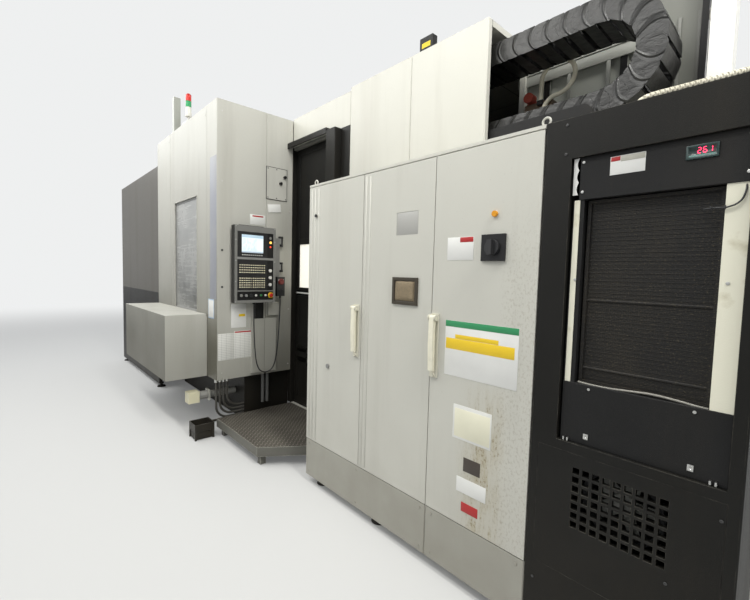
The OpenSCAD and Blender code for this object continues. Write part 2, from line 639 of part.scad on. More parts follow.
module cabinet_plinth() color("lightgray") place() {
  split_x = right_door_x[0] - door_gap / 2;
  front_cover([cabinet_x, split_x - seam], [door_y0, door_y0 + wall], [ground_gap, plinth_top]);
  front_cover([split_x, chiller_x - seam], [door_y0, door_y0 + wall], [ground_gap, plinth_top]);
  block([cabinet_x, chiller_x - seam], [door_y0 + wall + seam, machine_y], [ground_gap, plinth_top]);
  for (h = hinges)
    bar_z([h[0], h[1], plinth_top], hinge_r, door_gap + 24);
  for (x = [cabinet_x + 40, (cabinet_x + split_x) / 2, split_x - 40, split_x + 40, chiller_x - 40], z = [ground_gap + 30, plinth_top - 30])
    bar_y([x, door_y0 - 3, z], 7, 4);
}

// A cabinet door: a folded pan with an inner stiffener and the bores of its two hinge pins
module door_pan(x, hinge) {
  difference() {
    block(x, [door_y0, door_y0 + door_t], door_z);
    for (z = [[door_z[0] + 30, (door_z[0] + door_z[1]) / 2 - 30], [(door_z[0] + door_z[1]) / 2 + 30, door_z[1] - 30]])
      block([x[0] + door_rim, x[1] - door_rim], [door_y0 + door_sheet, door_y0 + door_t + 1], z);
    for (z = [door_z[0] - 1, door_z[1] - 25])
      bar_z([hinge[0], hinge[1], z], hinge_r + run_fit, 26);
  }
}

// The seat of a lever handle: a plate, two ears with the pivot bore, and a lock at its lower end
lever_z = [plinth_top + 757, plinth_top + 757 + lever_l];
lever_r = 13;
lever_pin_r = 6;
seat_t = 8;
lever_y = door_y0 - seat_t - lever_r - 3;
ear_t = 8;
module lever_seat(x) {
  ear_x = lever_w / 2 + 0.3;
  difference() {
    union() {
      block([x - ear_x - ear_t, x + ear_x + ear_t], [door_y0 - seat_t, door_y0], [lever_z[0] - 34, lever_z[1] + 22]);
      for (s = [-1, 1]) translate([s > 0 ? x + ear_x : x - ear_x - ear_t, 0, 0]) {
        bar_x([0, lever_y, lever_z[1]], lever_r + 3, ear_t);
        block([0, ear_t], [lever_y, door_y0 - seat_t + 1], [lever_z[1] - lever_r - 3, lever_z[1] + lever_r + 3]);
      }
      bar_y([x, door_y0 - seat_t - 12, lever_z[0] - 20], 11, 13);
    }
    bar_x([x - 50, lever_y, lever_z[1]], lever_pin_r + run_fit, 100);
  }
}
module lever(x) {
  grip_r = 8;
  ear_x = lever_w / 2 + 0.3;
  translate([x - lever_w / 2, 0, 0]) rotate([90, 0, 90]) linear_extrude(lever_w) union() {
    translate([lever_y, lever_z[1]]) circle(r = lever_r);
    translate([lever_y - 2, lever_z[0] + grip_r]) circle(r = grip_r);
    polygon([[lever_y - lever_r, lever_z[1]], [lever_y + lever_r - 2, lever_z[1]], [lever_y + 2, lever_z[1] - 60],
      [lever_y + grip_r - 2, lever_z[0] + grip_r], [lever_y - grip_r - 2, lever_z[0] + grip_r],
      [lever_y - 16, (lever_z[0] + lever_z[1]) / 2]]);
  }
  bar_x([x - ear_x - ear_t + 1, lever_y, lever_z[1]], lever_pin_r, 2 * (ear_x + ear_t - 1));
}
left_lever_x = left_door_x[1] - 42;
right_lever_x = right_door_x[0] + 27;

module door_left() color("lightgray") place() {
  door_pan(left_door_x, hinges[0]);
  lever_seat(left_lever_x);
  lock = [left_door_x[0] + 264, plinth_top + 603];
  knob_r = 11;
  knob = [left_door_x[0] + 96, door_z[1] - 209];
  bar_y([lock[0], door_y0 - 9, lock[1]], 16, 10);
  bar_y([knob[0], door_y0 - 14, knob[1]], knob_r, 15);
}

// Middle door with a small viewing window and a framed filter grille
module door_middle() color("lightgray") place() {
  x0 = middle_door_x[0] + 279;
  frame_t = 10;
  grille_l = 194;
  grille_h = 156;
  view_h = 129;
  view_z = door_z[1] - 394;
  grille_z = plinth_top + 1092;
  difference() {
    door_pan(middle_door_x, hinges[1]);
    block([x0 + 14, x0 + 179], [door_y0 - 1, door_y0 + 2], [view_z, view_z + view_h]);
  }
  difference() {
    block([x0, x0 + grille_l], [door_y0 - frame_t, door_y0], [grille_z, grille_z + grille_h]);
    block([x0 + 18, x0 + grille_l - 18], [door_y0 - frame_t - 1, door_y0 - 5], [grille_z + 18, grille_z + grille_h - 18]);
    for (i = [0:9])
      block([x0 + 22 + i * 15.5, x0 + 32 + i * 15.5], [door_y0 - 6, door_y0 - 1], [grille_z + 22, grille_z + grille_h - 22]);
  }
}

// Right door with the breaker's plate and bore, and an indicator lamp
breaker_c = [right_door_x[0] + 355, plinth_top + 1398];
breaker_shaft_r = 10;
breaker_t = 12;
module door_right() color("lightgray") place() {
  plate_s = 124;
  difference() {
    union() {
      door_pan(right_door_x, hinges[2]);
      block([breaker_c[0] - plate_s / 2, breaker_c[0] + plate_s / 2], [door_y0 - breaker_t, door_y0],
        [breaker_c[1] - plate_s / 2, breaker_c[1] + plate_s / 2]);
      lever_seat(right_lever_x);
      bar_y([breaker_c[0], door_y0 - 12, breaker_c[1] + 155], 14, 13);
    }
    bar_y([breaker_c[0], door_y0 - breaker_t - 1, breaker_c[1]], breaker_shaft_r + run_fit, breaker_t + 2);
  }
}
module breaker_knob() color([0.1, 0.1, 0.1]) place() {
  y1 = door_y0 - breaker_t - face_gap;
  bar_y([breaker_c[0], y1 - 14, breaker_c[1]], 36, 14);
  block([breaker_c[0] - 12, breaker_c[0] + 12], [y1 - 34, y1 - 13], [breaker_c[1] - 34, breaker_c[1] + 34]);
  bar_y([breaker_c[0], y1 - 1, breaker_c[1]], breaker_shaft_r, breaker_t);
}
module handle_left() color([0.9, 0.88, 0.74]) place() lever(left_lever_x);
module handle_right() color([0.9, 0.88, 0.74]) place() lever(right_lever_x);

// Oil chiller case: a black frame round the filter recess, with a fan chamber behind the square grille
open_x = [total_l - 40 - filter_open_l, total_l - 40];
open_z = [plinth_top + 600, plinth_top + 600 + filter_open_h];
recess_d = 200;
case_front_t = 20;
fan_c = [chiller_x + 342, plinth_top + 380];
fan_r = 118;
chamber_r = 170;
module chiller_case() color([0.1, 0.1, 0.1]) place() {
  grille_x = fan_c[0] - (grille_columns - 1) / 2 * grille_pitch;
  grille_z = fan_c[1] - (grille_rows - 1) / 2 * grille_pitch;
  low_x = [chiller_x + 36, total_l - 36];
  low_z = [plinth_top + 40, plinth_top + 560];
  difference() {
    front_cover([chiller_x, total_l], [cabinet_y, machine_y], [ground_gap, cabinet_top]);
    block(open_x, [cabinet_y - 1, cabinet_y + recess_d], open_z);
    block(low_x, [cabinet_y - 1, cabinet_y + case_front_t], low_z);
    block([fan_c[0] - chamber_r, fan_c[0] + chamber_r], [cabinet_y + case_front_t - 1, cabinet_y + recess_d],
      [fan_c[1] - chamber_r, fan_c[1] + chamber_r]);
  }
  difference() {
    block([low_x[0] + seam, low_x[1] - seam], [cabinet_y, cabinet_y + case_front_t - face_gap], [low_z[0] + seam, low_z[1] - seam]);
    for (i = [0:grille_columns - 1], j = [0:grille_rows - 1])
      translate([grille_x + i * grille_pitch - grille_hole / 2, cabinet_y - 1, grille_z + j * grille_pitch - grille_hole / 2])
        cube([grille_hole, case_front_t + 2, grille_hole]);
  }
}

// Chiller core: the condenser block, its display panel and trim round the filter, and the fan's shroud
filter_x = [open_x[0] + 58, open_x[1] - 64];
filter_z = [open_z[0] + 245, open_z[1] - 168];
filter_y = [cabinet_y + 42, cabinet_y + 88];
fan_shaft_r = 9;
module chiller_core() color([0.16, 0.16, 0.16]) place() {
  x = [open_x[0] + seam, open_x[1] - seam];
  y = [cabinet_y + 16, cabinet_y + recess_d];
  block(x, [filter_y[1], y[1]], [open_z[0] + seam, open_z[1] - seam]);
  block([x[0] + 30, x[1]], [y[0], filter_y[1]], [filter_z[1] + 4, open_z[1] - seam]);
  block([x[0] + 8, x[1]], [y[0], filter_y[1]], [open_z[0] + seam, filter_z[0] - 1]);
  block([x[0] + 8, x[0] + 50], [y[0] + 4, filter_y[1]], [filter_z[0] - 1, filter_z[1] + 4]);
  block([x[1] - 62, x[1]], [y[0] + 4, filter_y[1]], [filter_z[0] - 1, filter_z[1] + 4]);
  translate([fan_c[0], y[1], fan_c[1]]) rotate([90, 0, 0]) {
    difference() {
      cylinder(r = fan_r + 26, h = 130);
      translate([0, 0, -1]) cylinder(r = fan_r + 8, h = 132);
    }
    difference() {
      cylinder(r = 46, h = 60);
      translate([0, 0, 20]) cylinder(r = fan_shaft_r + run_fit, h = 41);
    }
  }
}

// Flat filter mat in a thin frame, with fine ribs and two folds across it
module chiller_filter() color([0.05, 0.05, 0.05]) place() {
  ribs = 44;
  rib_pitch = (filter_z[1] - filter_z[0] - 40) / ribs;
  mat_y = filter_y[0] + 10;
  block(filter_x, [mat_y, filter_y[1]], filter_z);
  difference() {
    block(filter_x, [filter_y[0], mat_y], filter_z);
    block([filter_x[0] + 12, filter_x[1] - 12], [filter_y[0] - 1, mat_y + 1], [filter_z[0] + 12, filter_z[1] - 12]);
  }
  for (i = [0:ribs - 1])
    translate([filter_x[0] + 12, mat_y - 1.2, filter_z[0] + 20 + i * rib_pitch])
      cube([filter_x[1] - filter_x[0] - 24, 2.2, rib_pitch * 0.5]);
  for (z = [filter_z[0] + 62, filter_z[0] + 0.46 * (filter_z[1] - filter_z[0])])
    bar_x([filter_x[0] + 12, mat_y, z], 6, filter_x[1] - filter_x[0] - 24);
}

// Fan with pitched blades on its hub and shaft
module chiller_fan() color([0.1, 0.1, 0.1]) place() {
  blades = 5;
  hub_h = 40;
  translate([fan_c[0], cabinet_y + recess_d - 62, fan_c[1]]) rotate([90, 0, 0]) {
    cylinder(r = 42, h = hub_h);
    translate([0, 0, -38]) cylinder(r = fan_shaft_r, h = 39);
    for (i = [0:blades - 1])
      rotate(i * 360 / blades) translate([36, 0, hub_h / 2]) rotate([28, 0, 0])
        translate([0, -30, -2]) cube([fan_r - 40, 60, 4]);
  }
}

// Energy chain: cranked links whose round ends turn in the next link's cut-out
chain_c = [chiller_x - 80, rear_h + 40 + face_gap + link_h / 2 + chain_r];
chain_y = [machine_y + 103, machine_y + 103 + chain_w];
bend_step = 180 / bend_links;
link_pitch = 2 * chain_r * sin(bend_step / 2);
links = 2 * run_links + bend_links;
plate_t = 9;
disc_gap = 0.6;
disc_r = link_h / 2;
eye_r = disc_r - 12;
chain_pin_r = 14;
crank_x = disc_r * tan(bend_step) + 2;
function pin_at(i) =
  i <= run_links ? [chain_c[0] - (run_links - i) * link_pitch, chain_c[1] - chain_r]
  : i <= run_links + bend_links ? let(a = -90 + (i - run_links) * bend_step)
    [chain_c[0] + chain_r * cos(a), chain_c[1] + chain_r * sin(a)]
  : [chain_c[0] - (i - run_links - bend_links) * link_pitch, chain_c[1] + chain_r];
module link_outer_plate() {
  difference() {
    union() {
      translate([crank_x, -disc_r]) square([link_pitch - crank_x, link_h]);
      translate([link_pitch, 0]) circle(r = disc_r);
    }
    circle(r = disc_r + disc_gap);
  }
}
module link_inner_plate() {
  difference() {
    union() {
      circle(r = eye_r);
      translate([0, -eye_r + 14]) square([link_pitch - eye_r, 2 * eye_r - 28]);
      for (s = [-1, 1]) translate([crank_x, s * (disc_r - 6) - 6]) square([link_pitch - crank_x, 12]);
    }
    circle(r = chain_pin_r + 0.4);
    translate([link_pitch, 0]) circle(r = eye_r + disc_gap);
  }
}
cover_t = 5;
function cover_rim(s, r, a) = [link_pitch + r * sin(a), s * r * cos(a)];
module link_cover(s, turn) {
  x0 = sqrt(pow(disc_r + disc_gap, 2) - pow(disc_r - cover_t, 2)) + 1;
  r = [disc_r - 0.5, disc_r - cover_t];
  polygon(concat([[x0, s * r[1]], [x0, s * r[0]]], [for (a = [0:bend_step / 2:turn]) cover_rim(s, r[0], a)],
    [for (a = [turn:-bend_step / 2:0]) cover_rim(s, r[1], a)]));
}
module chain_link() {
  for (side = [0, 1]) mirror([0, 0, side]) translate([0, 0, -chain_w / 2]) {
    linear_extrude(plate_t) link_outer_plate();
    translate([0, 0, plate_t + face_gap]) linear_extrude(plate_t) link_inner_plate();
    translate([0, 0, plate_t - 1]) linear_extrude(2) difference() {
      link_outer_plate();
      translate([link_pitch, 0]) circle(r = disc_r - 11);
    }
    translate([link_pitch, 0, plate_t - 1]) cylinder(r = chain_pin_r, h = plate_t + 1);
  }
  translate([0, 0, -chain_w / 2]) linear_extrude(chain_w) {
    link_cover(1, 0);
    link_cover(-1, bend_step);
  }
}
module energy_chain() color([0.13, 0.13, 0.13]) place()
  for (i = [0:links - 1]) {
    a = pin_at(i);
    v = pin_at(i + 1) - a;
    translate([a[0], (chain_y[0] + chain_y[1]) / 2, a[1]]) rotate([90, 0, 0]) rotate(atan2(v[1], v[0])) chain_link();
  }

// Chain bay: the tray under the lower run, the folded rear sheet with its beam, valve block and mast
module chain_tray() color([0.1, 0.1, 0.1]) place() {
  tray_end = chain_c[0] + 10;
  rear_y = [machine_y + 553, machine_y + 570];
  chamfer = 40;
  sheet_t = 6;
  side_h = 110;
  block([access_end + seam, tray_end], [machine_y + 50, chain_y[1] + 20], [rear_h, rear_h + 40]);
  for (y = [machine_y + 50 + sheet_t, chain_y[1] + 20])
    translate([0, y, rear_h]) rotate([90, 0, 0]) linear_extrude(sheet_t)
      polygon([[access_end + seam, 0], [tray_end, 0], [tray_end, side_h - chamfer], [tray_end - chamfer, side_h],
        [access_end + seam, side_h]]);
  translate([0, rear_y[1], rear_h]) rotate([90, 0, 0]) linear_extrude(rear_y[1] - rear_y[0])
    polygon([[access_end + seam, 0], [chiller_x + 320, 0], [chiller_x + 320, machine_h - rear_h - 60],
      [chiller_x + 120, machine_h - rear_h + 40], [access_end + seam, machine_h - rear_h + 40]]);
  block([access_end + seam, chiller_x + 60], [rear_y[0] - 44, rear_y[0]], [rear_h + 600, rear_h + 650]);
  for (x = [access_end + 130, chiller_x - 105])
    block([x, x + 40], [rear_y[0] - 30, rear_y[0]], [rear_h, rear_h + 600]);
  block([chiller_x + 290, chiller_x + 320], [rear_y[0] - 60, rear_y[0]], [rear_h, machine_h - 60]);
  block([chiller_x + 340, chiller_x + 440], [rear_y[0] - 130, rear_y[0] - 20], [rear_h, rear_h + 1000]);
  for (z = [rear_h + 170, rear_h + 560])
    block([chiller_x + 320, chiller_x + 350], [rear_y[0] - 40, rear_y[0] - 30], [z, z + 44]);
  block([access_end + 60, access_end + 190], [rear_y[0] - 110, rear_y[0] - 30], [rear_h, rear_h + 60]);
  block([access_end + 40, access_end + 230], [rear_y[0] - 120, rear_y[0] - 30], [rear_h + 270, rear_h + 360]);
  block([access_end + 90, access_end + 120], [rear_y[0] - 90, rear_y[0] - 60], [rear_h + 60, rear_h + 270]);
  block([access_end + 140, access_end + 180], [rear_y[0] - 150, rear_y[0] - 120], [rear_h + 330, rear_h + 360]);
  bar_y([access_end + 75, rear_y[0] - 150, rear_h + 400], 34, 60);
  bar_y([access_end + 75, rear_y[0] - 91, rear_h + 360], 40, 50);
  block([cabinet_x + 470, cabinet_x + 590], [machine_y + 8, machine_y + 60], [machine_h, machine_h + 95]);
}

// Fixed hoses: four from the tower's floor to the base, two loops at the valve block, and the conduit on the chiller's roof
module hose_arc(r, bend, a) { rotate_extrude(angle = a) translate([bend, 0]) circle(r = r, $fn = 16); }
module hydraulic_hoses() color([0.08, 0.08, 0.08]) place() {
  hose_r = 11;
  bend = 120;
  x_low = recess_x - 74;
  for (i = [0:3]) {
    x = x_low;
    y = tower_y + 24 + i * 36;
    low_z = 130 + i * 35;
    bar_z([x, y, tower_lift - 34], hose_r + 8, 34);
    bar_z([x, y, low_z + bend], hose_r, tower_lift - 34 - low_z - bend);
    translate([x, y + bend, low_z + bend]) rotate([90, 0, 90]) rotate(180) hose_arc(hose_r, bend, 90);
    bar_y([x, y + bend, low_z], hose_r, tower_y + 309 - y - bend);
  }
  roof_r = 16;
  roof_bend = 60;
  roof_x = [chiller_x + 310, total_l - 30];
  roof_y = cabinet_y + 45;
  roof_z = cabinet_top + face_gap + roof_r;
  bar_x([roof_x[0] + roof_bend, roof_y, roof_z], roof_r, roof_x[1] - roof_x[0] - 2 * roof_bend);
  for (i = [0, 1]) {
    translate([roof_x[i] + (1 - 2 * i) * roof_bend, roof_y + roof_bend, roof_z]) rotate(180 + 90 * i) hose_arc(roof_r, roof_bend, 90);
    bar_y([roof_x[i], roof_y + roof_bend, roof_z], roof_r, machine_y + seam - roof_y - roof_bend);
  }
  loop_r = 14;
  loop_y = machine_y + 418;
  x = access_end + 160;
  z = rear_h + 360;
  bar_z([x, loop_y, z], loop_r, 120);
  translate([x + 110, loop_y, z + 120]) rotate([90, 0, 0]) hose_arc(loop_r, 110, 180);
  translate([x + 110, loop_y, z + 120]) rotate([90, 0, 0]) rotate(-90) hose_arc(loop_r, 110, 90);
  translate([x + 110, loop_y, z - 80]) rotate([90, 0, 0]) rotate(90) hose_arc(loop_r, 90, 90);
  bar_z([x + 20, loop_y, rear_h], loop_r, z - 80 - rear_h);
}

// Saddle on the ground rails, with the cross rails of the column on top
saddle_z = [bed_z1 + bed_rail_h, bed_z1 + bed_rail_h + 240];
cross_rail_h = 40;
cross_rail_w = 60;
column_w = 600;
column_y = [(bed_y[0] + bed_y[1] - column_w) / 2, (bed_y[0] + bed_y[1] + column_w) / 2];
column_x = [saddle_x[0] + 100, saddle_x[1] - 60];
module saddle() color("gray") place() {
  truck_l = 240;
  truck_h = 40;
  block(saddle_x, [bed_y[0] + 60, bed_y[1] - 60], [saddle_z[0] + truck_h, saddle_z[1]]);
  for (x = [saddle_x[0] + 40, saddle_x[1] - 40 - truck_l], y = rail_ys)
    block([x, x + truck_l], [y, y + bed_rail_w], [saddle_z[0], saddle_z[0] + truck_h]);
  for (x = [column_x[0], column_x[1] - cross_rail_w])
    block([x, x + cross_rail_w], [bed_y[0] + 60, bed_y[1] - 60], [saddle_z[1], saddle_z[1] + cross_rail_h]);
}

// Twin-pillar column with the vertical rails of the spindle head
column_z = [saddle_z[1] + cross_rail_h, machine_h - wall - 310];
head_c = [(column_y[0] + column_y[1]) / 2, column_z[0] + 760];
head_h = 610;
pillar_w = 140;
rail_t = 30;
module column() color("gray") place() {
  block(column_x, column_y, [column_z[0], column_z[0] + 100]);
  for (y = [column_y[0], column_y[1] - pillar_w]) {
    block([column_x[0], column_x[1]], [y, y + pillar_w], [column_z[0] + 100, column_z[1]]);
    block([column_x[0] - rail_t, column_x[0]], [y + pillar_w / 2 - 30, y + pillar_w / 2 + 30],
      [head_c[1] - head_h / 2 - head_down - 20, head_c[1] + head_h / 2 + head_up + 20]);
  }
  block(column_x, [column_y[0] + pillar_w, column_y[1] - pillar_w], [column_z[1] - 140, column_z[1]]);
}

// Spindle head: carriage plate, quill housing and the spindle's bore
head_reach = 500;
head_x = [saddle_x[0] - head_reach, column_x[0] - rail_t];
carriage_t = 60;
spindle_l = 300;
module spindle_head() color("lightgray") place() {
  difference() {
    union() {
      block([head_x[1] - carriage_t, head_x[1]], [column_y[0] + 20, column_y[1] - 20],
        [head_c[1] - head_h / 2, head_c[1] + head_h / 2]);
      block([head_x[0] + 180, head_x[1] - carriage_t + 1], [head_c[0] - 200, head_c[0] + 200],
        [head_c[1] - 210, head_c[1] + 250]);
      bar_x([head_x[0], head_c[0], head_c[1]], 170, 181);
    }
    bar_x([head_x[0] - 1, head_c[0], head_c[1]], spindle_r + run_fit, spindle_l + 6);
  }
}
module spindle() color("silver") place() {
  nose_l = 60;
  difference() {
    union() {
      bar_x([head_x[0] - face_gap, head_c[0], head_c[1]], spindle_r, spindle_l);
      bar_x([head_x[0] - face_gap - nose_l, head_c[0], head_c[1]], spindle_r + 20, nose_l);
      for (s = [-1, 1])
        block([head_x[0] - nose_l - 12, head_x[0] - nose_l], [head_c[0] - 12, head_c[0] + 12],
          [head_c[1] + s * (spindle_r - 8) - 12, head_c[1] + s * (spindle_r - 8) + 12]);
    }
    translate([head_x[0] - face_gap - nose_l - 1, head_c[0], head_c[1]]) rotate([0, 90, 0])
      cylinder(r1 = 35, r2 = 20, h = 102);
  }
}

// Tool magazine wheel: hub and shaft, spoked disc, rim and a ring of tool sockets
module magazine_wheel() color([0.35, 0.35, 0.37]) place() {
  socket_d = 230;
  y0 = tower_y + socket_d;
  hub_l = 200;
  disc_y = y0 + 130;
  bar_y([mag_c[0], y0 + 20, mag_c[1]], 150, hub_l);
  bar_y([mag_c[0], y0 + 20, mag_c[1]], mag_shaft_r, machine_y - 4 - y0 - 20);
  translate([mag_c[0], disc_y, mag_c[1]]) rotate([-90, 0, 0]) {
    difference() {
      cylinder(r = magazine_r - 40, h = 24);
      for (i = [0:5]) rotate(i * 60) translate([(magazine_r - 40) * 0.58, 0, -1]) cylinder(r = 105, h = 26);
    }
    difference() {
      translate([0, 0, -30]) cylinder(r = magazine_r + 12, h = 84);
      translate([0, 0, -31]) cylinder(r = magazine_r - 52, h = 86);
    }
  }
  for (i = [0:sockets - 1]) {
    a = i * 360 / sockets;
    translate([mag_c[0] + magazine_r * cos(a), y0, mag_c[1] + magazine_r * sin(a)]) rotate([-90, 0, 0]) {
      cylinder(r = 42, h = 160);
      if (i % 3 != 1) {
        translate([0, 0, -26]) cylinder(r = 33, h = 27);
        translate([0, 0, -90 + (i % 2) * 24]) cylinder(r = 17, h = 70);
      }
    }
  }
}

// Double-ended tool change arm behind the tower
module change_arm() color([0.6, 0.6, 0.6]) place() {
  arm_l = 560;
  arm_y = machine_y + 60;
  bar_y([arm_c[0], machine_y - wall + 4, arm_c[1]], arm_shaft_r, wall + 60);
  bar_y([arm_c[0], arm_y - face_gap - 20, arm_c[1]], 75, 90);
  difference() {
    translate([arm_c[0] - arm_l / 2, arm_y, arm_c[1] - 50]) cube([arm_l, 44, 100]);
    for (s = [-1, 1])
      bar_y([arm_c[0] + s * (arm_l / 2 - 20), arm_y - 1, arm_c[1] + s * 30], 42, 46);
  }
}

// Control panel case: a metal frame with dark fields, bores for its controls, and the swivel knuckles
face_x = panel_x[1];
floor_x = face_x - 6;
row_z = panel_z[0] + 72;
key_y = [panel_y[0] + 68, panel_y[0] + 118];
mode_y = panel_y[0] + 171;
button_y = [panel_y[0] + 221, panel_y[0] + 274, panel_y[0] + 323];
stop_y = panel_y[0] + panel_w - 50;
dial_y = panel_y[0] + panel_w - 58;
dial_z = [panel_z[0] + 320, panel_z[0] + 250, panel_z[0] + 180];
knob_shaft_r = 5;
button_r = 11;
stop_stem_r = 10;
bore_d = 16;
upper_z = [panel_z[0] + 446, panel_z[1] - 58];
lower_z = [panel_z[0] + 122, panel_z[0] + 424];
row_field_z = [panel_z[0] + 26, panel_z[0] + 112];
field_y = [panel_y[0] + 26, panel_y[1] - 26];
gland_y = panel_y[0] + 216;
gland_l = 18;
module control_panel() color([0.68, 0.68, 0.66]) place() {
  arm_x = [panel_x[0] - 12, panel_x[0]];
  difference() {
    block([panel_x[0], face_x], panel_y, panel_z);
    for (z = [upper_z, lower_z, row_field_z]) block([floor_x, face_x + 1], field_y, z);
    for (y = key_y) bar_x([floor_x - bore_d, y, row_z], knob_shaft_r + run_fit, bore_d + 1);
    bar_x([floor_x - bore_d, mode_y, row_z], knob_shaft_r + run_fit, bore_d + 1);
    for (z = dial_z) bar_x([floor_x - bore_d, dial_y, z], knob_shaft_r + run_fit, bore_d + 1);
    for (y = button_y) bar_x([floor_x - bore_d, y, row_z], button_r + run_fit, bore_d + 1);
    bar_x([floor_x - bore_d - 6, stop_y, row_z], stop_stem_r + run_fit, bore_d + 7);
  }
  difference() {
    bar_x([floor_x, stop_y, row_z], 29, 4);
    bar_x([floor_x - 1, stop_y, row_z], stop_stem_r + 2, 6);
  }
  for (i = [0:2]) bar_x([floor_x, dial_y, upper_z[1] - 46 - i * 44], 13 - i * 2, 5);
  bar_z([panel_x[0] + 40, gland_y, panel_z[0] - gland_l], 14, gland_l);
  block(arm_x, [panel_y[1] - 20, pivot[1] - 25], [pendant_z[1] - 110, ear_z[1] + 30]);
  for (z = ear_z) difference() {
    union() {
      bar_z([pivot[0], pivot[1], z - knuckle_h / 2 + face_gap], 20, knuckle_h - 2 * face_gap);
      block(arm_x, [pivot[1] - 26, pivot[1]], [z - knuckle_h / 2 + face_gap, z + knuckle_h / 2 - face_gap]);
    }
    bar_z([pivot[0], pivot[1], z - knuckle_h], swivel_r + run_fit, 2 * knuckle_h);
  }
}

// Screen and sealed key fields that lie in the panel's dark fields
module panel_face() color([0.15, 0.16, 0.17]) place() {
  key_w = 13;
  key_h = 8;
  sheet_x = [floor_x, floor_x + 3];
  y1 = dial_y - 34;
  difference() {
    block([floor_x, floor_x + 5], [field_y[0], y1], upper_z);
    block([floor_x + 3, floor_x + 6], [field_y[0] + 44, field_y[0] + 268], [upper_z[0] + 44, upper_z[1] - 28]);
  }
  for (i = [0:9])
    block([floor_x + 5, floor_x + 6], [field_y[0] + 48 + i * 22, field_y[0] + 60 + i * 22], [upper_z[0] + 18, upper_z[0] + 26]);
  block(sheet_x, [field_y[0], y1], lower_z);
  for (i = [0:11], j = [0:4])
    translate([sheet_x[1], field_y[0] + 22 + i * 23, lower_z[0] + 28 + j * 22]) cube([1.5, key_w, key_h]);
  for (i = [0:11], j = [0:3])
    translate([sheet_x[1], field_y[0] + 22 + i * 23, lower_z[0] + 172 + j * 24]) cube([1.5, key_w, key_h]);
}

// A knob on a shaft that turns in the panel: a round cap with a grip bar
module knob(y, z, r, h, grip) {
  difference() {
    union() {
      bar_x([floor_x + face_gap, y, z], r, h);
      block([floor_x + face_gap + h - 1, floor_x + face_gap + h + grip], [y - r * 0.22, y + r * 0.22], [z - r * 0.9, z + r * 0.9]);
    }
    block([floor_x + h + grip - 2, floor_x + h + grip + 2], [y - 1, y + 1], [z + r * 0.35, z + r]);
  }
  bar_x([floor_x + face_gap - bore_d + 2, y, z], knob_shaft_r, bore_d - 1);
}
module dial_1() color([0.85, 0.85, 0.83]) place() knob(dial_y, dial_z[0], 16, 10, 8);
module dial_2() color([0.85, 0.85, 0.83]) place() knob(dial_y, dial_z[1], 16, 10, 8);
module dial_3() color([0.85, 0.85, 0.83]) place() knob(dial_y, dial_z[2], 16, 10, 8);
module mode_switch() color([0.08, 0.08, 0.08]) place() knob(mode_y, row_z, 17, 8, 12);
module key_1() color([0.8, 0.8, 0.8]) place() knob(key_y[0], row_z, 13, 10, 3);
module key_2() color([0.8, 0.8, 0.8]) place() {
  knob(key_y[1], row_z, 13, 10, 3);
  block([floor_x + 12, floor_x + 34], [key_y[1] - 1.2, key_y[1] + 1.2], [row_z - 12, row_z + 4]);
}

// A push button: a cap with a domed edge on a plunger
module push_button(y) {
  cap_h = 7;
  bar_x([floor_x - bore_d + 6, y, row_z], button_r, bore_d - 6 + cap_h);
  translate([floor_x + cap_h, y, row_z]) rotate([0, 90, 0]) cylinder(r1 = button_r, r2 = button_r - 2, h = 2);
}
module push_button_1() color("white") place() push_button(button_y[0]);
module push_button_2() color("green") place() push_button(button_y[1]);
module push_button_3() color("white") place() push_button(button_y[2]);

// Mushroom stop button on its stem
module e_stop() color([0.75, 0.1, 0.08]) place() {
  bar_x([floor_x - bore_d + 2, stop_y, row_z], stop_stem_r, bore_d + 12);
  translate([floor_x + 12, stop_y, row_z]) rotate([0, 90, 0]) {
    cylinder(r1 = 18, r2 = 21, h = 4);
    translate([0, 0, 4]) cylinder(r1 = 21, r2 = 15, h = 9);
  }
}

// Handwheel pendant hung on the panel's arm, its dial, and the cable from the panel to it
pendant_x = [panel_x[0], panel_x[0] + 60];
pendant_y = [pivot[1] - 83, pivot[1] + 5];
pendant_z = [panel_z[0] + 60, panel_z[0] + 260];
hand_c = [(pendant_y[0] + pendant_y[1]) / 2, pendant_z[1] - 50];
module handwheel_pendant() color([0.07, 0.07, 0.07]) place() {
  difference() {
    union() {
      block(pendant_x, pendant_y, pendant_z);
      bar_x([pendant_x[1], hand_c[0] - 18, pendant_z[0] + 60], 9, 10);
      bar_x([pendant_x[1], hand_c[0] + 18, pendant_z[0] + 60], 9, 10);
      bar_z([panel_x[0] + 40, 1022, pendant_z[0] - 20], 12, 20);
    }
    bar_x([pendant_x[1] - 16, hand_c[0], hand_c[1]], knob_shaft_r + run_fit, 17);
  }
}
module handwheel_dial() color([0.7, 0.1, 0.1]) place() {
  bar_x([pendant_x[1] + face_gap, hand_c[0], hand_c[1]], 32, 9);
  bar_x([pendant_x[1] + 9, hand_c[0], hand_c[1]], 24, 8);
  bar_x([pendant_x[1] + 9, hand_c[0], hand_c[1] + 20], 6, 18);
  bar_x([pendant_x[1] - 13, hand_c[0], hand_c[1]], knob_shaft_r, 15);
}
cable_r = 6;
cable_p = [[4292, 731, 1272], [4292, 731, 1200], [4292, 732, 1100], [4292, 735, 1000], [4292, 740, 900],
  [4292, 747, 800], [4292, 758, 710], [4292, 776, 640], [4292, 805, 592], [4292, 845, 570], [4292, 890, 570],
  [4292, 930, 590], [4292, 960, 636], [4292, 980, 710], [4292, 994, 800], [4292, 1004, 900],
  [4292, 1011, 1000], [4292, 1017, 1100], [4292, 1021, 1200], [4292, 1022, 1280], [4292, 1022, 1330]];
cable_sides = 8;
function unit(v) = v / norm(v);
function along(p, i) = unit(p[min(i + 1, len(p) - 1)] - p[max(i - 1, 0)]);
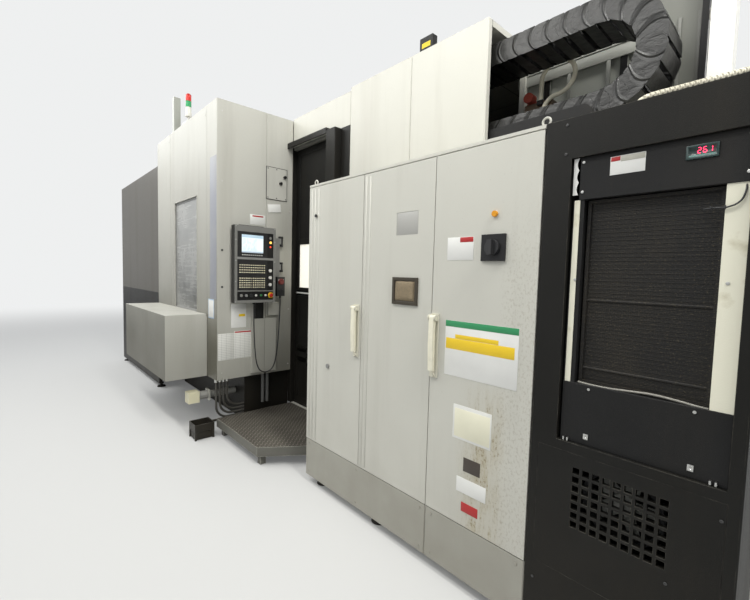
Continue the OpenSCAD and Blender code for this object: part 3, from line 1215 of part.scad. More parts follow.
module tube(p, r, n) {
  side = [1, 0, 0];
  rings = [for (i = [0:len(p) - 1], k = [0:n - 1])
    p[i] + r * cos(k * 360 / n) * side + r * sin(k * 360 / n) * unit(cross(along(p, i), side))];
  walls = [for (i = [0:len(p) - 2], k = [0:n - 1])
    [i * n + k, i * n + (k + 1) % n, (i + 1) * n + (k + 1) % n, (i + 1) * n + k]];
  polyhedron(rings, concat(walls, [[for (k = [n - 1:-1:0]) k]], [[for (k = [0:n - 1]) (len(p) - 1) * n + k]]));
}
module handwheel_cable() color([0.1, 0.1, 0.1]) place() tube(cable_p, cable_r, cable_sides);

bed_casting();
levelling_feet();
pallet_stands();
back_panels();
roof_panels();
front_panels();
door_surround();
tower_shell();
tool_shelf();
service_panel();
base_covers();
bay_covers();
rear_housing();
magazine_motor();
step_platform();
coolant_tray();
side_fittings();
signal_mast();
cabinet_case();
cabinet_plinth();
chiller_case();
chiller_core();
chiller_filter();
energy_chain();
chain_tray();
hydraulic_hoses();
handwheel_cable();
operator_door();
door_glass();
tool_door();
pallet_door();
setup_pallet();
table_pallet();
saddle();
column();
spindle_head();
spindle();
magazine_wheel();
change_arm();
control_panel();
panel_face();
dial_1();
dial_2();
dial_3();
e_stop();
push_button_1();
push_button_2();
push_button_3();
mode_switch();
key_1();
key_2();
handwheel_pendant();
handwheel_dial();
door_left();
door_middle();
door_right();
handle_left();
handle_right();
breaker_knob();
chiller_fan();
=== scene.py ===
import json
import math

import bmesh
import bpy
from mathutils import Matrix, Vector

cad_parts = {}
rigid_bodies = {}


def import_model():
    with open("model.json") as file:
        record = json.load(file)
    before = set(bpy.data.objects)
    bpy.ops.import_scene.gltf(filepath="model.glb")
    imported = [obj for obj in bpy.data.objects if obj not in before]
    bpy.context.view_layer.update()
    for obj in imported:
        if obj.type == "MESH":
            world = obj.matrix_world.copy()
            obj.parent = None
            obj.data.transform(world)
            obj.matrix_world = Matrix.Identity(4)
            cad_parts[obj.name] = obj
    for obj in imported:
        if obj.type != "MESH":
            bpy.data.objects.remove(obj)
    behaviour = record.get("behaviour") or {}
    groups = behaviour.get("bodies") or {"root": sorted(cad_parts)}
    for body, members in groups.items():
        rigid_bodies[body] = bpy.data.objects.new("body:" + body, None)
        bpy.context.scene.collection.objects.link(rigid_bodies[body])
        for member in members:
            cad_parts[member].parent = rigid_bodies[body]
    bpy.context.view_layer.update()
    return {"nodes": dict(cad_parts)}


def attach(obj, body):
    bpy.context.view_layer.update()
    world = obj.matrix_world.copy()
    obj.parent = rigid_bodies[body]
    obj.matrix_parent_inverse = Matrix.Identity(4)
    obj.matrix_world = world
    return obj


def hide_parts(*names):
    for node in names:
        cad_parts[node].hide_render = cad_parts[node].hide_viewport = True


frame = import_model()
nodes = frame["nodes"]

# Camera
# An eye at 1.6 m in the aisle, close to the chiller and looking along the
# machine towards the tool magazine tower.
scene_objects = bpy.context.scene.collection.objects
camera_data = bpy.data.cameras.new("eye")
camera_data.sensor_width, camera_data.lens = 36, 19.36
camera_data.clip_start, camera_data.clip_end = 0.05, 200
camera = bpy.data.objects.new("eye", camera_data)
scene_objects.link(camera)
right, up, back = (0.6737, 0.7387, 0.0256), (-0.0639, 0.0237, 0.9977), (0.7363, -0.6737, 0.0631)
eye = (4.095, -2.893, 1.6)
camera.matrix_world = Matrix.Translation(eye) @ Matrix((right, up, back)).transposed().to_4x4()
bpy.context.scene.camera = camera
bpy.context.scene.view_settings.view_transform = "Standard"

# Cable of the hand-wheel pendant
# A black rubber cable, 12 mm thick, that hangs in one loop from the control
# panel's gland to the pendant. Its route is the source's own, in metres from
# the machine's left front corner, as all places below are.
corner = Vector((3.985, 1.8, 0))


class Value:
    """A value in a shader, which takes part in sums"""

    def __init__(self, finish, socket):
        self.finish, self.socket = finish, socket

    def sum(self, operation, first, second):
        return self.finish.node("Math", {"operation": operation}, {0: first, 1: second})

    def of(self, operation, other=0.0):
        return self.sum(operation, self, other)

    def __add__(self, other):
        return self.of("ADD", other)

    def __sub__(self, other):
        return self.of("SUBTRACT", other)

    def __rsub__(self, other):
        return self.sum("SUBTRACT", other, self)

    def __mul__(self, other):
        return self.of("MULTIPLY", other)

    def __pow__(self, other):
        return self.of("POWER", other)

    def __gt__(self, other):
        return self.of("GREATER_THAN", other)

    def __lt__(self, other):
        return self.of("LESS_THAN", other)

    __radd__, __rmul__ = __add__, __mul__


class Finish:
    """A material that adds its nodes one by one"""

    def __init__(self, name, **fixed):
        self.material = bpy.data.materials.new(name)
        self.material.use_nodes = True
        self.tree = self.material.node_tree
        self.shader = self.tree.nodes["Principled BSDF"]
        self.set(**fixed)
        self.place = self.node("TexCoord", {}, {}, "Object")

    def node(self, kind, settings, inputs, output=0):
        made = self.tree.nodes.new("ShaderNode" + kind)
        for key, value in settings.items():
            if key == "stops":
                while len(made.color_ramp.elements) < len(value):
                    made.color_ramp.elements.new(1)
                for stop, (position, grey) in zip(made.color_ramp.elements, value):
                    stop.position, stop.color = position, (grey, grey, grey, 1)
            else:
                setattr(made, key, value)
        for key, value in inputs.items():
            self.join(made.inputs[key], value)
        return Value(self, made.outputs[output])

    def join(self, socket, value):
        if isinstance(value, Value):
            self.tree.links.new(value.socket, socket)
        elif isinstance(value, tuple) and len(value) == 3 and socket.type == "RGBA":
            socket.default_value = (*value, 1)
        else:
            socket.default_value = value

    def set(self, **inputs):
        for key, value in inputs.items():
            self.join(self.shader.inputs[key.replace("_", " ")], value)

    def held(self, key):
        """What the shader has at one of its inputs so far"""
        socket = self.shader.inputs[key]
        return Value(self, socket.links[0].from_socket) if socket.is_linked else socket.default_value

    def noise(self, scale, detail=2.0, stretch=(1, 1, 1), rough=0.5):
        at = self.place if stretch == (1, 1, 1) else self.node("Mapping", {}, {0: self.place, 3: stretch})
        return self.node("TexNoise", {}, {"Vector": at, "Scale": scale, "Detail": detail, "Roughness": rough})

    def ramp(self, value, *stops):
        return self.node("ValToRGB", {"stops": stops}, {0: value})

    def clouds(self, scale, detail, start, end, stretch=(1, 1, 1), rough=0.5):
        """A mask of noise that rises from 0 at its start to 1 at its end"""
        return self.ramp(self.noise(scale, detail, stretch, rough), (start, 0), (end, 1))

    def mix(self, share, first, second):
        return self.node("Mix", {"data_type": "RGBA"}, {0: share, 6: first, 7: second}, 2)

    def split(self):
        return [self.node("SeparateXYZ", {}, {0: self.place}, axis) for axis in range(3)]

    def facing(self, axis):
        """How far the surface looks along an axis, from -1 to 1"""
        return self.node("SeparateXYZ", {}, {0: self.node("NewGeometry", {}, {}, "Normal")}, axis)

    def bands(self, axis, scale):
        return self.node("TexWave", {"bands_direction": axis}, {"Vector": self.place, "Scale": scale})

    def weave(self, scale, gap, second_grey, width, height):
        """A mask of woven strands that face the aisle"""
        upright = self.node("Mapping", {}, {0: self.place, 2: (math.radians(90), 0, 0)})
        return self.node("TexBrick", {"offset": 0.5}, {
            "Vector": upright, "Scale": scale, "Mortar Size": gap, "Brick Width": width, "Row Height": height,
            "Color1": (1, 1, 1), "Color2": (second_grey,) * 3, "Mortar": (0, 0, 0),
        })

    def edge(self, radius):
        """The rounded normal of the piece's edges, and a mask that is 1 along them"""
        round_normal = self.node("Bevel", {"samples": 4}, {"Radius": radius})
        flat_normal = self.node("NewGeometry", {}, {}, "Normal")
        dot = {"operation": "DOT_PRODUCT"}
        across = self.node("VectorMath", dot, {0: round_normal, 1: flat_normal}, "Value")
        return round_normal, self.ramp(across, (0.78, 1), (0.995, 0))

    def bump(self, height, distance, normal=None, strength=1.0):
        inputs = {"Height": height, "Distance": distance, "Strength": strength}
        if normal is not None:
            inputs["Normal"] = normal
        self.set(Normal=self.node("Bump", {}, inputs))


rubber = Finish("smooth_rubber", Base_Color=(0.018, 0.018, 0.019))
rubber.set(Roughness=rubber.noise(60, 4) * 0.25 + 0.36)
rubber.bump(rubber.noise(900, 1), 0.0002)
cable_x = 4.292
cable_route = [
    (0.731, 1.272), (0.731, 1.2), (0.732, 1.1), (0.735, 1.0), (0.74, 0.9), (0.747, 0.8), (0.758, 0.71),
    (0.776, 0.64), (0.805, 0.592), (0.845, 0.57), (0.89, 0.57), (0.93, 0.59), (0.96, 0.636), (0.98, 0.71),
    (0.994, 0.8), (1.004, 0.9), (1.011, 1.0), (1.017, 1.1), (1.021, 1.2), (1.022, 1.28), (1.022, 1.33),
]
cable_points = [Vector((cable_x, y, z)) - corner for y, z in cable_route]


def hose(name, points, radius, finish):
    """A round hose or cable, as one smooth curve along points"""
    curve = bpy.data.curves.new(name, "CURVE")
    curve.dimensions, curve.bevel_depth, curve.bevel_resolution = "3D", radius, 5
    curve.resolution_u, curve.use_fill_caps = 6, True
    spline = curve.splines.new("BEZIER")
    spline.bezier_points.add(len(points) - 1)
    for knot, point in zip(spline.bezier_points, points):
        knot.co = point
        knot.handle_left_type = knot.handle_right_type = "AUTO"
    made = bpy.data.objects.new(name, curve)
    scene_objects.link(made)
    curve.materials.append(finish.material)
    return made


pendant_cable = hose("pendant_cable", cable_points, 0.006, rubber)
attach(pendant_cable, "control_panel")
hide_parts("handwheel_cable")


# Floor and light
# A plain pale floor that fades into a pale sky, and soft studio light from
# above the aisle. Only the camera and clear or glossy pieces see the sky.
def wear(piece, finish):
    piece.data.materials.clear()
    piece.data.materials.append(finish.material)


bpy.ops.mesh.primitive_plane_add(size=60)
floor = bpy.context.object
floor.name = "floor"
floor_finish = Finish("pale_floor", Base_Color=(0.6, 0.6, 0.59), Roughness=0.75)
wear(floor, floor_finish)
horizon = (0.86, 0.87, 0.87)
fade_start, fade_end, least_fade = 5.5, 17.0, 0.12
away = floor_finish.node("VectorMath", {"operation": "LENGTH"}, {0: floor_finish.place}, "Value")
smooth_step = {"interpolation_type": "SMOOTHSTEP"}
limits = {0: away, 1: fade_start, 2: fade_end, 3: least_fade, 4: 1.0}
fading = floor_finish.node("MapRange", smooth_step, limits)
seen_share = fading * floor_finish.node("LightPath", {}, {}, "Is Camera Ray")
pale = floor_finish.node("Emission", {}, {"Color": horizon, "Strength": 1.0})
matt = Value(floor_finish, floor_finish.shader.outputs[0])
floor_finish.join(
    floor_finish.tree.nodes["Material Output"].inputs["Surface"],
    floor_finish.node("MixShader", {}, {0: seen_share, 1: matt, 2: pale}),
)
world = bpy.data.worlds.new("studio")
bpy.context.scene.world = world
world.use_nodes = True
sky, link = world.node_tree.nodes, world.node_tree.links.new
lit_sky, seen_sky = sky["Background"], sky.new("ShaderNodeBackground")
lit_sky.inputs["Color"].default_value = (0.93, 0.96, 1.0, 1)
lit_sky.inputs["Strength"].default_value = 0.45
seen_sky.inputs["Color"].default_value = (*horizon, 1)
either, rays = sky.new("ShaderNodeMixShader"), sky.new("ShaderNodeLightPath")
seen = rays.outputs["Is Camera Ray"]
for kind in ("Is Glossy Ray", "Is Transmission Ray"):
    both = sky.new("ShaderNodeMath")
    both.operation = "MAXIMUM"
    link(seen, both.inputs[0])
    link(rays.outputs[kind], both.inputs[1])
    seen = both.outputs[0]
for number, output in enumerate((seen, lit_sky.outputs[0], seen_sky.outputs[0])):
    link(output, either.inputs[number])
link(either.outputs[0], sky["World Output"].inputs["Surface"])
for name, place, aim, size, power, tint in (
    ("skylight", (-1.0, -5.5, 7.0), (0.0, -0.6, 1.2), (9.0, 5.0), 250, (1.0, 0.99, 0.96)),
    ("ceiling_strip", (0.3, -3.3, 4.9), (0.3, -1.0, 2.6), (8.0, 0.5), 130, (1.0, 0.99, 0.95)),
    ("end_strip", (4.6, -1.6, 5.2), (0.2, -0.9, 2.4), (0.6, 3.5), 150, (1.0, 0.99, 0.95)),
    ("rear_fill", (1.5, 8.5, 6.0), (0.5, 1.5, 1.2), (8.0, 4.0), 260, (1.0, 1.0, 0.98)),
    ("far_skylight", (-6.5, -2.5, 6.0), (-1.5, 0.0, 1.5), (4.0, 4.0), 110, (0.95, 0.98, 1.0)),
):
    light = bpy.data.lights.new(name, "AREA")
    light.shape, light.size, light.size_y, light.energy, light.color = "RECTANGLE", *size, power, tint
    made = bpy.data.objects.new(name, light)
    scene_objects.link(made)
    made.location = place
    made.rotation_euler = (Vector(aim) - Vector(place)).to_track_quat("-Z", "Y").to_euler()


# Painted covers
# Textured paint on sheet, with a fine crinkle, faint vertical smears, dust
# towards the floor and dulled edges. On the control panel and the drip tray
# the pale edge colour is a painted highlight along the edges.
def paint(name, colour, edge_colour, crinkle=330, dirt=1.0, gloss=0.42, edge_radius=0.004):
    finish = Finish(name, Specular_IOR_Level=0.3 if colour[0] > 0.03 else 0.16)
    smears = finish.clouds(3.0, 5, 0.5, 0.8, (1.4, 1.4, 0.11), 0.62)
    low = finish.ramp(finish.split()[2], (0.05, 1), (0.85, 0))
    dusty = tuple(0.72 * c + 0.28 * d for c, d in zip(colour, (0.13, 0.1, 0.06)))
    lit = tuple(min(1, 1.07 * c + 0.006) for c in colour)
    tone = finish.mix(finish.clouds(1.1, 4, 0.32, 0.72), colour, lit)
    dots = finish.clouds(85, 3, 0.66, 0.74)
    for share in (smears * (0.55 * dirt), low * finish.noise(5, 4) * dirt, dots * (0.3 * dirt)):
        tone = finish.mix(share, tone, dusty)
    round_normal, edges = finish.edge(edge_radius)
    # Edges take the edge colour: dulled paint, and on the control panel and the drip tray a painted
    # highlight.
    worn = edges * finish.clouds(14, 4, 0.38, 0.62)
    grain = finish.noise(crinkle, 2, rough=0.6)
    rough = grain * 0.1 + smears * 0.06 + (gloss - 0.06)
    finish.set(Base_Color=finish.mix(worn * 0.7, tone, edge_colour), Roughness=rough)
    finish.bump(grain, 0.0011, round_normal, 0.55)
    return finish


def recolour(finish, mask, colour, gloss=None):
    """Gives the finish another colour and roughness where the mask is 1"""
    finish.set(Base_Color=finish.mix(mask, finish.held("Base Color"), colour))
    if gloss is not None:
        finish.set(Roughness=finish.held("Roughness") * (1 - mask) + mask * gloss)


def dress(finish, *names):
    """Gives the source's pieces of these names the finish"""
    for name in names:
        wear(nodes[name], finish)


warm_grey, rubbed_grey = (0.528, 0.522, 0.468), (0.36, 0.34, 0.3)
crinkle_black = (0.0085, 0.0082, 0.007)
dress(paint("warm_grey_paint", warm_grey, rubbed_grey), "front_panels", "spindle_head")
dress(paint("plinth_paint", (0.35, 0.343, 0.3), (0.24, 0.22, 0.18), 330, 1.4), "cabinet_plinth")
dark_paint = paint("dark_grey_paint", (0.044, 0.044, 0.046), (0.1, 0.1, 0.1), 330, 0.5, 0.45)
recolour(dark_paint, dark_paint.ramp(dark_paint.split()[2], (0.9, 0), (2.9, 1)) * 0.3, (0.2, 0.18, 0.135))
dress(dark_paint, "bay_covers", "pallet_door")
black_paint = paint("black_crinkle_paint", crinkle_black, (0.075, 0.072, 0.062), 420, 0.35)
dress(black_paint, "base_covers", "door_surround", "levelling_feet")
chiller_paint = paint("chiller_black_paint", crinkle_black, (0.16, 0.15, 0.12), 420, 0.35)
dress(chiller_paint, "chiller_case")

# Castings and ground steel
# Rolled paint on grey iron, and ground faces with their fine grinding lines.
casting = paint("casting_paint", (0.1, 0.105, 0.105), (0.2, 0.2, 0.19), 120, 0.8, 0.5)
dress(casting, "bed_casting", "pallet_stands", "saddle", "column", "magazine_wheel")
ground_steel = Finish("ground_steel", Metallic=1.0)
grinding = ground_steel.noise(9, 6, (1.0, 60, 60))
ground_steel.set(
    Base_Color=ground_steel.mix(ground_steel.noise(6, 3), (0.45, 0.45, 0.44), (0.6, 0.6, 0.59)),
    Roughness=grinding * 0.2 + 0.22,
)
ground_steel.bump(grinding, 0.0003, ground_steel.edge(0.002)[0])
dress(ground_steel, "setup_pallet", "table_pallet", "spindle", "change_arm", "key_1", "key_2")


# Moulded plastics
# Satin plastic with rounded edges and the light rubbing that hands leave.
def plastic(name, colour, gloss=0.35, grain=900, edge_radius=0.0015):
    finish = Finish(name, Specular_IOR_Level=0.5)
    rubbed = finish.clouds(28, 4, 0.4, 0.75)
    darker = tuple(0.78 * c for c in colour)
    finish.set(Base_Color=finish.mix(rubbed * 0.5, colour, darker), Roughness=rubbed * 0.15 + gloss)
    finish.bump(finish.noise(grain, 1), 0.0002, finish.edge(edge_radius)[0], 0.5)
    return finish


black_plastic = plastic("black_plastic", (0.022, 0.022, 0.023))
dress(black_plastic, "handwheel_pendant", "mode_switch", "breaker_knob")
dress(plastic("cream_plastic", (0.8, 0.77, 0.62), 0.38, 500, 0.004), "handle_left", "handle_right")
white_plastic = plastic("white_plastic", (0.74, 0.73, 0.69))
dress(white_plastic, "dial_1", "dial_2", "dial_3", "push_button_1", "push_button_3")
dress(plastic("green_plastic", (0.03, 0.22, 0.06)), "push_button_2")
dress(plastic("red_plastic", (0.45, 0.018, 0.012), 0.28), "e_stop")

# Filter, fan and glass
# The chiller's black filter mat, the grey fan behind its grille, and the
# milky scratched pane of the operator door, which glows faintly as painted light.
mat = Finish("filter_mesh", Roughness=0.62, Specular_IOR_Level=0.35)
strands = mat.weave(60.0, 0.06, 0.6, 0.9, 0.36)
lint = mat.clouds(3.5, 6, 0.42, 0.75, (1, 1, 0.6))
flecks = mat.clouds(130, 3, 0.56, 0.68, (1, 1, 1.6), 0.7)
woven = mat.mix(strands, (0.004, 0.004, 0.004), mat.mix(lint, (0.01, 0.009, 0.008), (0.032, 0.026, 0.017)))
mat.set(Base_Color=mat.mix(flecks * 0.5, woven, (0.105, 0.086, 0.05)))
mat.bump(strands, 0.0012)
dress(mat, "chiller_filter")
dress(plastic("fan_grey", (0.4, 0.4, 0.36)), "chiller_fan")
# The pane's faint warm glow is painted light; the pane is no lamp.
pane = Finish("clear_pane", Base_Color=(0.88, 0.87, 0.8), Transmission_Weight=0.3, IOR=1.45,
              Emission_Color=(1.0, 0.96, 0.86), Emission_Strength=0.42)
pane.set(Roughness=pane.clouds(30, 6, 0.5, 0.75, (1, 1, 9)) * 0.35 + 0.08)
dress(pane, "door_glass")


# Cabinet doors
# What stands proud of the doors' faces is hardware in its own colours, such as
# the breaker's plate and the lamp. Oil has run down the right door.
def inside(finish, low, high):
    """A mask that is 1 in a box between two corners"""
    mask = None
    for axis, below, above, shift in zip(finish.split(), low, high, corner):
        for limit, above_it in ((below, True), (above, False)):
            if limit is not None:
                part = axis > limit - shift if above_it else axis < limit - shift
                mask = part if mask is None else mask * part
    return mask


def pick_out(finish, *boxes):
    """Recolours boxes: two corners, the colour and, where it changes, the roughness"""
    for low, high, *look in boxes:
        recolour(finish, inside(finish, low, high), *look)


def fade(finish, value, start, end):
    """A soft step from 0 at its start to 1 at its end, of a value or along an axis"""
    if isinstance(value, str):
        axis = "xyz".index(value)
        value, start, end = finish.split()[axis], start - corner[axis], end - corner[axis]
    return finish.node("MapRange", smooth_step, {0: value, 1: start, 2: end})


def soften(piece, width, segments=2):
    """Rounds the sharp edges of a modelled piece"""
    soft = piece.modifiers.new("edges", "BEVEL")
    soft.width, soft.segments, soft.limit_method = width, segments, "ANGLE"
    bpy.ops.object.modifier_apply(modifier="edges")


def slab(name, x, y, z, finish, bevel=0.0012, body="machine", segments=2):
    """A flat piece with rounded edges, in a box given by its ranges"""
    centre = Vector([(low + high) / 2 for low, high in (x, y, z)]) - corner
    bpy.ops.mesh.primitive_cube_add(size=1, location=centre)
    made = bpy.context.object
    made.name = name
    made.scale = [high - low for low, high in (x, y, z)]
    bpy.ops.object.transform_apply()
    soften(made, bevel, segments)
    bpy.ops.object.shade_smooth_by_angle(angle=math.radians(35))
    wear(made, finish)
    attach(made, body)
    return made


def slabs(body, *rows):
    """Slabs of one body: name, ranges, finish and bevel"""
    for row in rows:
        slab(*row, body)


door_face = 0.579
proud = door_face - 0.0008
any_place = (None, None, None)
light_doors = paint("cabinet_door_paint", warm_grey, rubbed_grey)
specks = light_doors.clouds(95, 4, 0.52, 0.6, (1.0, 1.0, 0.6), 0.7)
trails = light_doors.clouds(20, 5, 0.45, 0.66, (2.2, 1.0, 0.3), 0.7)
oil = fade(light_doors, "x", 6.87, 7.03) * fade(light_doors, "x", 7.2, 7.09)
oil = oil * fade(light_doors, "z", 1.14, 0.86)
splashes = fade(light_doors, "x", 7.08, 7.16) * fade(light_doors, "z", 2.05, 1.5)
recolour(light_doors, oil * (trails * 0.45 + 0.16), (0.36, 0.3, 0.17))
recolour(light_doors, (oil * trails + splashes * 0.3) * specks * 0.75, (0.16, 0.11, 0.045))
pick_out(
    light_doors,
    ((6.98, None, 1.66), (7.13, proud, 1.815), (0.016, 0.016, 0.017), 0.3),
    ((6.395, None, 1.42), (6.61, proud, 1.6), (0.05, 0.042, 0.03), 0.42),
    ((7.03, None, 1.86), (7.08, proud, 1.92), (0.7, 0.3, 0.02), 0.2),
    ((5.74, None, 0.91), (5.81, proud, 0.98), (0.22, 0.22, 0.21), 0.3),
    ((5.58, None, 1.98), (5.64, 0.5755, 2.04), (0.03, 0.03, 0.03), 0.35),
    ((6.04, None, 1.05), (6.124, proud, 1.41), (0.62, 0.6, 0.5), 0.4),
    ((6.69, None, 1.05), (6.775, proud, 1.41), (0.62, 0.6, 0.5), 0.4),
)
dress(light_doors, "door_left", "door_middle", "door_right")
for body, places in (("door_left", (5.545, 5.585, 5.63)), ("door_middle", (6.152, 6.188))):
    for x in places:
        fold = (x - 0.008, x + 0.008)
        slab(f"door_fold_{x}", fold, (0.5775, 0.5795), (0.36, 2.205), light_doors, 0.0018, body)
case_paint = paint("cabinet_case_paint", warm_grey, rubbed_grey)
# Painted shade: the case's front behind the doors is near black, so the gaps between the doors read dark.
pick_out(case_paint, ((5.5105, 0.5795, 0.3425), (7.2785, 0.64, 2.223), (0.012, 0.012, 0.012), 0.6))
dress(case_paint, "cabinet_case")


# Plates and cards on the cabinet
# Blank enamelled plates and cards on the right door, a millimetre thick, and
# a paper in its clear sleeve.
def card(name, colour, gloss=0.35, wear_tone=0.8):
    finish = Finish(name)
    faded = finish.clouds(9, 5, 0.35, 0.75)
    worn = tuple(wear_tone * c for c in colour)
    finish.set(Base_Color=finish.mix(faded * 0.35, colour, worn), Roughness=gloss + faded * 0.12)
    finish.bump(finish.noise(160, 3), 0.00012)
    return finish


white_card = card("white_card", (0.74, 0.74, 0.71))
cream_card = card("cream_card", (0.76, 0.74, 0.58), 0.5)
green_card = card("green_card", (0.03, 0.26, 0.1))
yellow_card = card("yellow_card", (0.8, 0.55, 0.02))
red_card = card("red_card", (0.42, 0.02, 0.02))
dark_card = card("dark_card", (0.045, 0.035, 0.028), 0.3, 1.9)
sleeve_finish = Finish("clear_sleeve", Base_Color=(0.72, 0.72, 0.68), Roughness=0.18, Coat_Weight=0.4)
sleeve_finish.bump(sleeve_finish.noise(22, 3), 0.004)
stuck = (door_face - 0.0012, door_face)
over = (door_face - 0.0016, door_face - 0.001)
slabs(
    "door_right",
    ("large_plate", (6.8, 7.205), stuck, (1.095, 1.377), white_card, 0.0005),
    ("large_plate_green_band", (6.8005, 7.2045), over, (1.345, 1.3765), green_card, 0.0002),
    ("large_plate_yellow_cap", (6.862, 7.106), over, (1.288, 1.309), yellow_card, 0.0002),
    ("large_plate_yellow_band", (6.806, 7.188), over, (1.232, 1.287), yellow_card, 0.0002),
    ("small_plate", (6.793, 6.949), stuck, (1.682, 1.796), white_card, 0.0005),
    ("small_plate_red_band", (6.87, 6.947), over, (1.77, 1.7945), red_card, 0.0002),
    ("data_plate", (6.94, 7.037), stuck, (0.627, 0.698), dark_card, 0.0005),
    ("lower_white_plate", (6.903, 7.073), stuck, (0.513, 0.59), white_card, 0.0005),
    ("lower_red_plate", (6.936, 7.033), stuck, (0.419, 0.467), red_card, 0.0005),
    ("paper_sleeve", (6.868, 7.088), stuck, (0.78, 0.955), sleeve_finish, 0.0005),
    ("sleeve_paper", (6.877, 7.081), over, (0.792, 0.937), cream_card, 0.0002),
)

# Window and filter of the middle door
# A ribbed pane, and a woven bronze filter that bulges out of its dark frame.
ribbed = Finish("ribbed_pane", Roughness=0.3, Specular_IOR_Level=0.6)
ribs = ribbed.bands("X", 42.0)
ribbed.set(Base_Color=ribbed.mix(ribs, (0.33, 0.325, 0.3), (0.46, 0.455, 0.43)))
ribbed.bump(ribs, 0.0008)
pane_y = (door_face + 0.0008, door_face + 0.0028)
slab("view_pane", (6.4215, 6.5855), pane_y, (1.8275, 1.9555), ribbed, 0.0004, "door_middle")
bronze = Finish("bronze_mesh", Roughness=0.42, Metallic=0.5)
wires = bronze.weave(120.0, 0.03, 0.7, 0.7, 0.35)
bronze.set(Base_Color=bronze.mix(wires, (0.035, 0.026, 0.016), (0.34, 0.27, 0.17)))
bronze.bump(wires, 0.0008)


def grid_sheet(name, cuts, place, thickness):
    """A thin sheet on a grid, its points placed by their shares of it"""
    bpy.ops.mesh.primitive_grid_add(x_subdivisions=cuts[0], y_subdivisions=cuts[1], size=1)
    made = bpy.context.object
    made.name = name
    for vertex in made.data.vertices:
        vertex.co = Vector(place(vertex.co.x + 0.5, vertex.co.y + 0.5)) - corner
    solid = made.modifiers.new("skin", "SOLIDIFY")
    solid.thickness, solid.offset = thickness, -1
    bpy.ops.object.modifier_apply(modifier="skin")
    return made


def cushion(u, v):
    """A point of the filter, whose front bulges towards the aisle"""
    rise = max(0.0, (1 - abs(2 * u - 1) ** 4) * (1 - abs(2 * v - 1) ** 4)) ** 0.6
    return 6.424 + u * 0.156, door_face - 0.003 - 0.0095 * rise, 1.452 + v * 0.118


filter_insert = grid_sheet("filter_insert", (12, 12), cushion, 0.001)
bpy.ops.object.mode_set(mode="EDIT")
bpy.ops.mesh.select_all(action="SELECT")
bpy.ops.mesh.normals_make_consistent(inside=False)
bpy.ops.object.mode_set(mode="OBJECT")
bpy.ops.object.shade_smooth_by_angle(angle=math.radians(50))
wear(filter_insert, bronze)
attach(filter_insert, "door_middle")

# Chain bay above the rear housing
# Black tray, grey rear sheet, pale beam, white mast and lugs, a valve block
# that is brown with oil, and its dull red cap. The rear sheet's grey is
# made lighter as painted light, since it lies in shade under the chain.
bay_paint = paint("chain_bay_paint", (0.01, 0.01, 0.01), (0.06, 0.06, 0.06), 420, 0.5, 0.45)
for low, high, colour in (
    # Rear sheet left of x 7.3: its own grey, made lighter as painted light where the chain shades it.
    ((6.5, 1.7595, None), (7.3, None, None), (0.42, 0.43, 0.385)),
    ((7.3, 1.7595, None), (7.61, None, None), (0.16, 0.163, 0.145)),
    ((6.5, 1.7301, None), (7.22, 1.7595, 3.05), (0.23, 0.235, 0.21)),
    ((6.5, 1.7, 3.045), (7.345, 1.7599, 3.105), (0.36, 0.365, 0.335)),
    ((7.612, None, None), any_place, (0.82, 0.81, 0.76)),
    ((7.598, 1.715, 2.6), (7.64, 1.735, 3.07), (0.8, 0.79, 0.75)),
    ((6.6, 1.62, 2.455), (6.81, 1.73, 2.8105), (0.13, 0.092, 0.062)),
    ((6.6, 1.6, 2.8105), (6.7, 1.73, 2.9), (0.42, 0.085, 0.06)),
    ((6.0, None, 3.27), (6.08, 1.216, 3.305), (0.62, 0.48, 0.03)),
):
    pick_out(bay_paint, (low, high, colour, 0.42))
dress(bay_paint, "chain_tray")
bay_grey = paint("bay_sheet_paint", (0.15, 0.152, 0.138), (0.3, 0.3, 0.28), 420, 0.8, 0.45)
beam_paint = paint("bay_beam_paint", (0.33, 0.335, 0.305), (0.3, 0.3, 0.26), 420, 1.2, 0.4)
slab("bay_beam_leaf", (6.505, 7.345), (1.7215, 1.7295), (2.975, 3.046), beam_paint, 0.001)
for x in (7.345, 7.455, 7.545):
    slab(f"bay_fold_{x}", (x, x + 0.016), (1.7495, 1.7603), (2.6, 3.09), bay_grey, 0.001)
for x in (6.86, 7.1):
    slab(f"bay_upright_{x}", (x, x + 0.022), (1.722, 1.7303), (2.6, 2.974), beam_paint, 0.001)

# Fixed hoses
# Black rubber with crimped steel ends, cream tube in the chain bay, and a
# ribbed cream conduit on the chiller's roof.
tube = Finish("hose_covers", Base_Color=(0.05, 0.047, 0.04))
x, y, z = tube.split()
high_up = inside(tube, (None, None, 2.2), any_place)
crimped = inside(tube, (None, None, 0.494), (None, None, 0.54))
tube.set(Roughness=tube.noise(60, 4) * 0.2 + 0.4, Metallic=crimped)
recolour(tube, high_up, (0.76, 0.72, 0.57))
recolour(tube, high_up * tube.clouds(9, 5, 0.45, 0.7) * 0.5, (0.3, 0.26, 0.18))
recolour(tube, crimped, (0.5, 0.5, 0.48), 0.3)
ring_pitch = 0.014
rings = (x + y) * (2 * math.pi / ring_pitch)
tube.bump(rings.of("SINE") * inside(tube, (None, None, 2.2), (None, None, 2.3)), 0.0035)
dress(tube, "hydraulic_hoses")

# Tower's finishes
# A greyer coat of the warm paint, with painted shade low down and on the
# sides that face the aisle. Masks pick out lenses, knobs and boxes, and
# paint black, as painted shadow, the fittings above 1.6 m.
tower_grey = (0.485, 0.48, 0.435)
tower_paint = paint("tower_paint", tower_grey, (0.33, 0.32, 0.29), 330, 1.3)
towards_aisle = fade(tower_paint, tower_paint.facing(1) * -1.0, 0.3, 0.7)
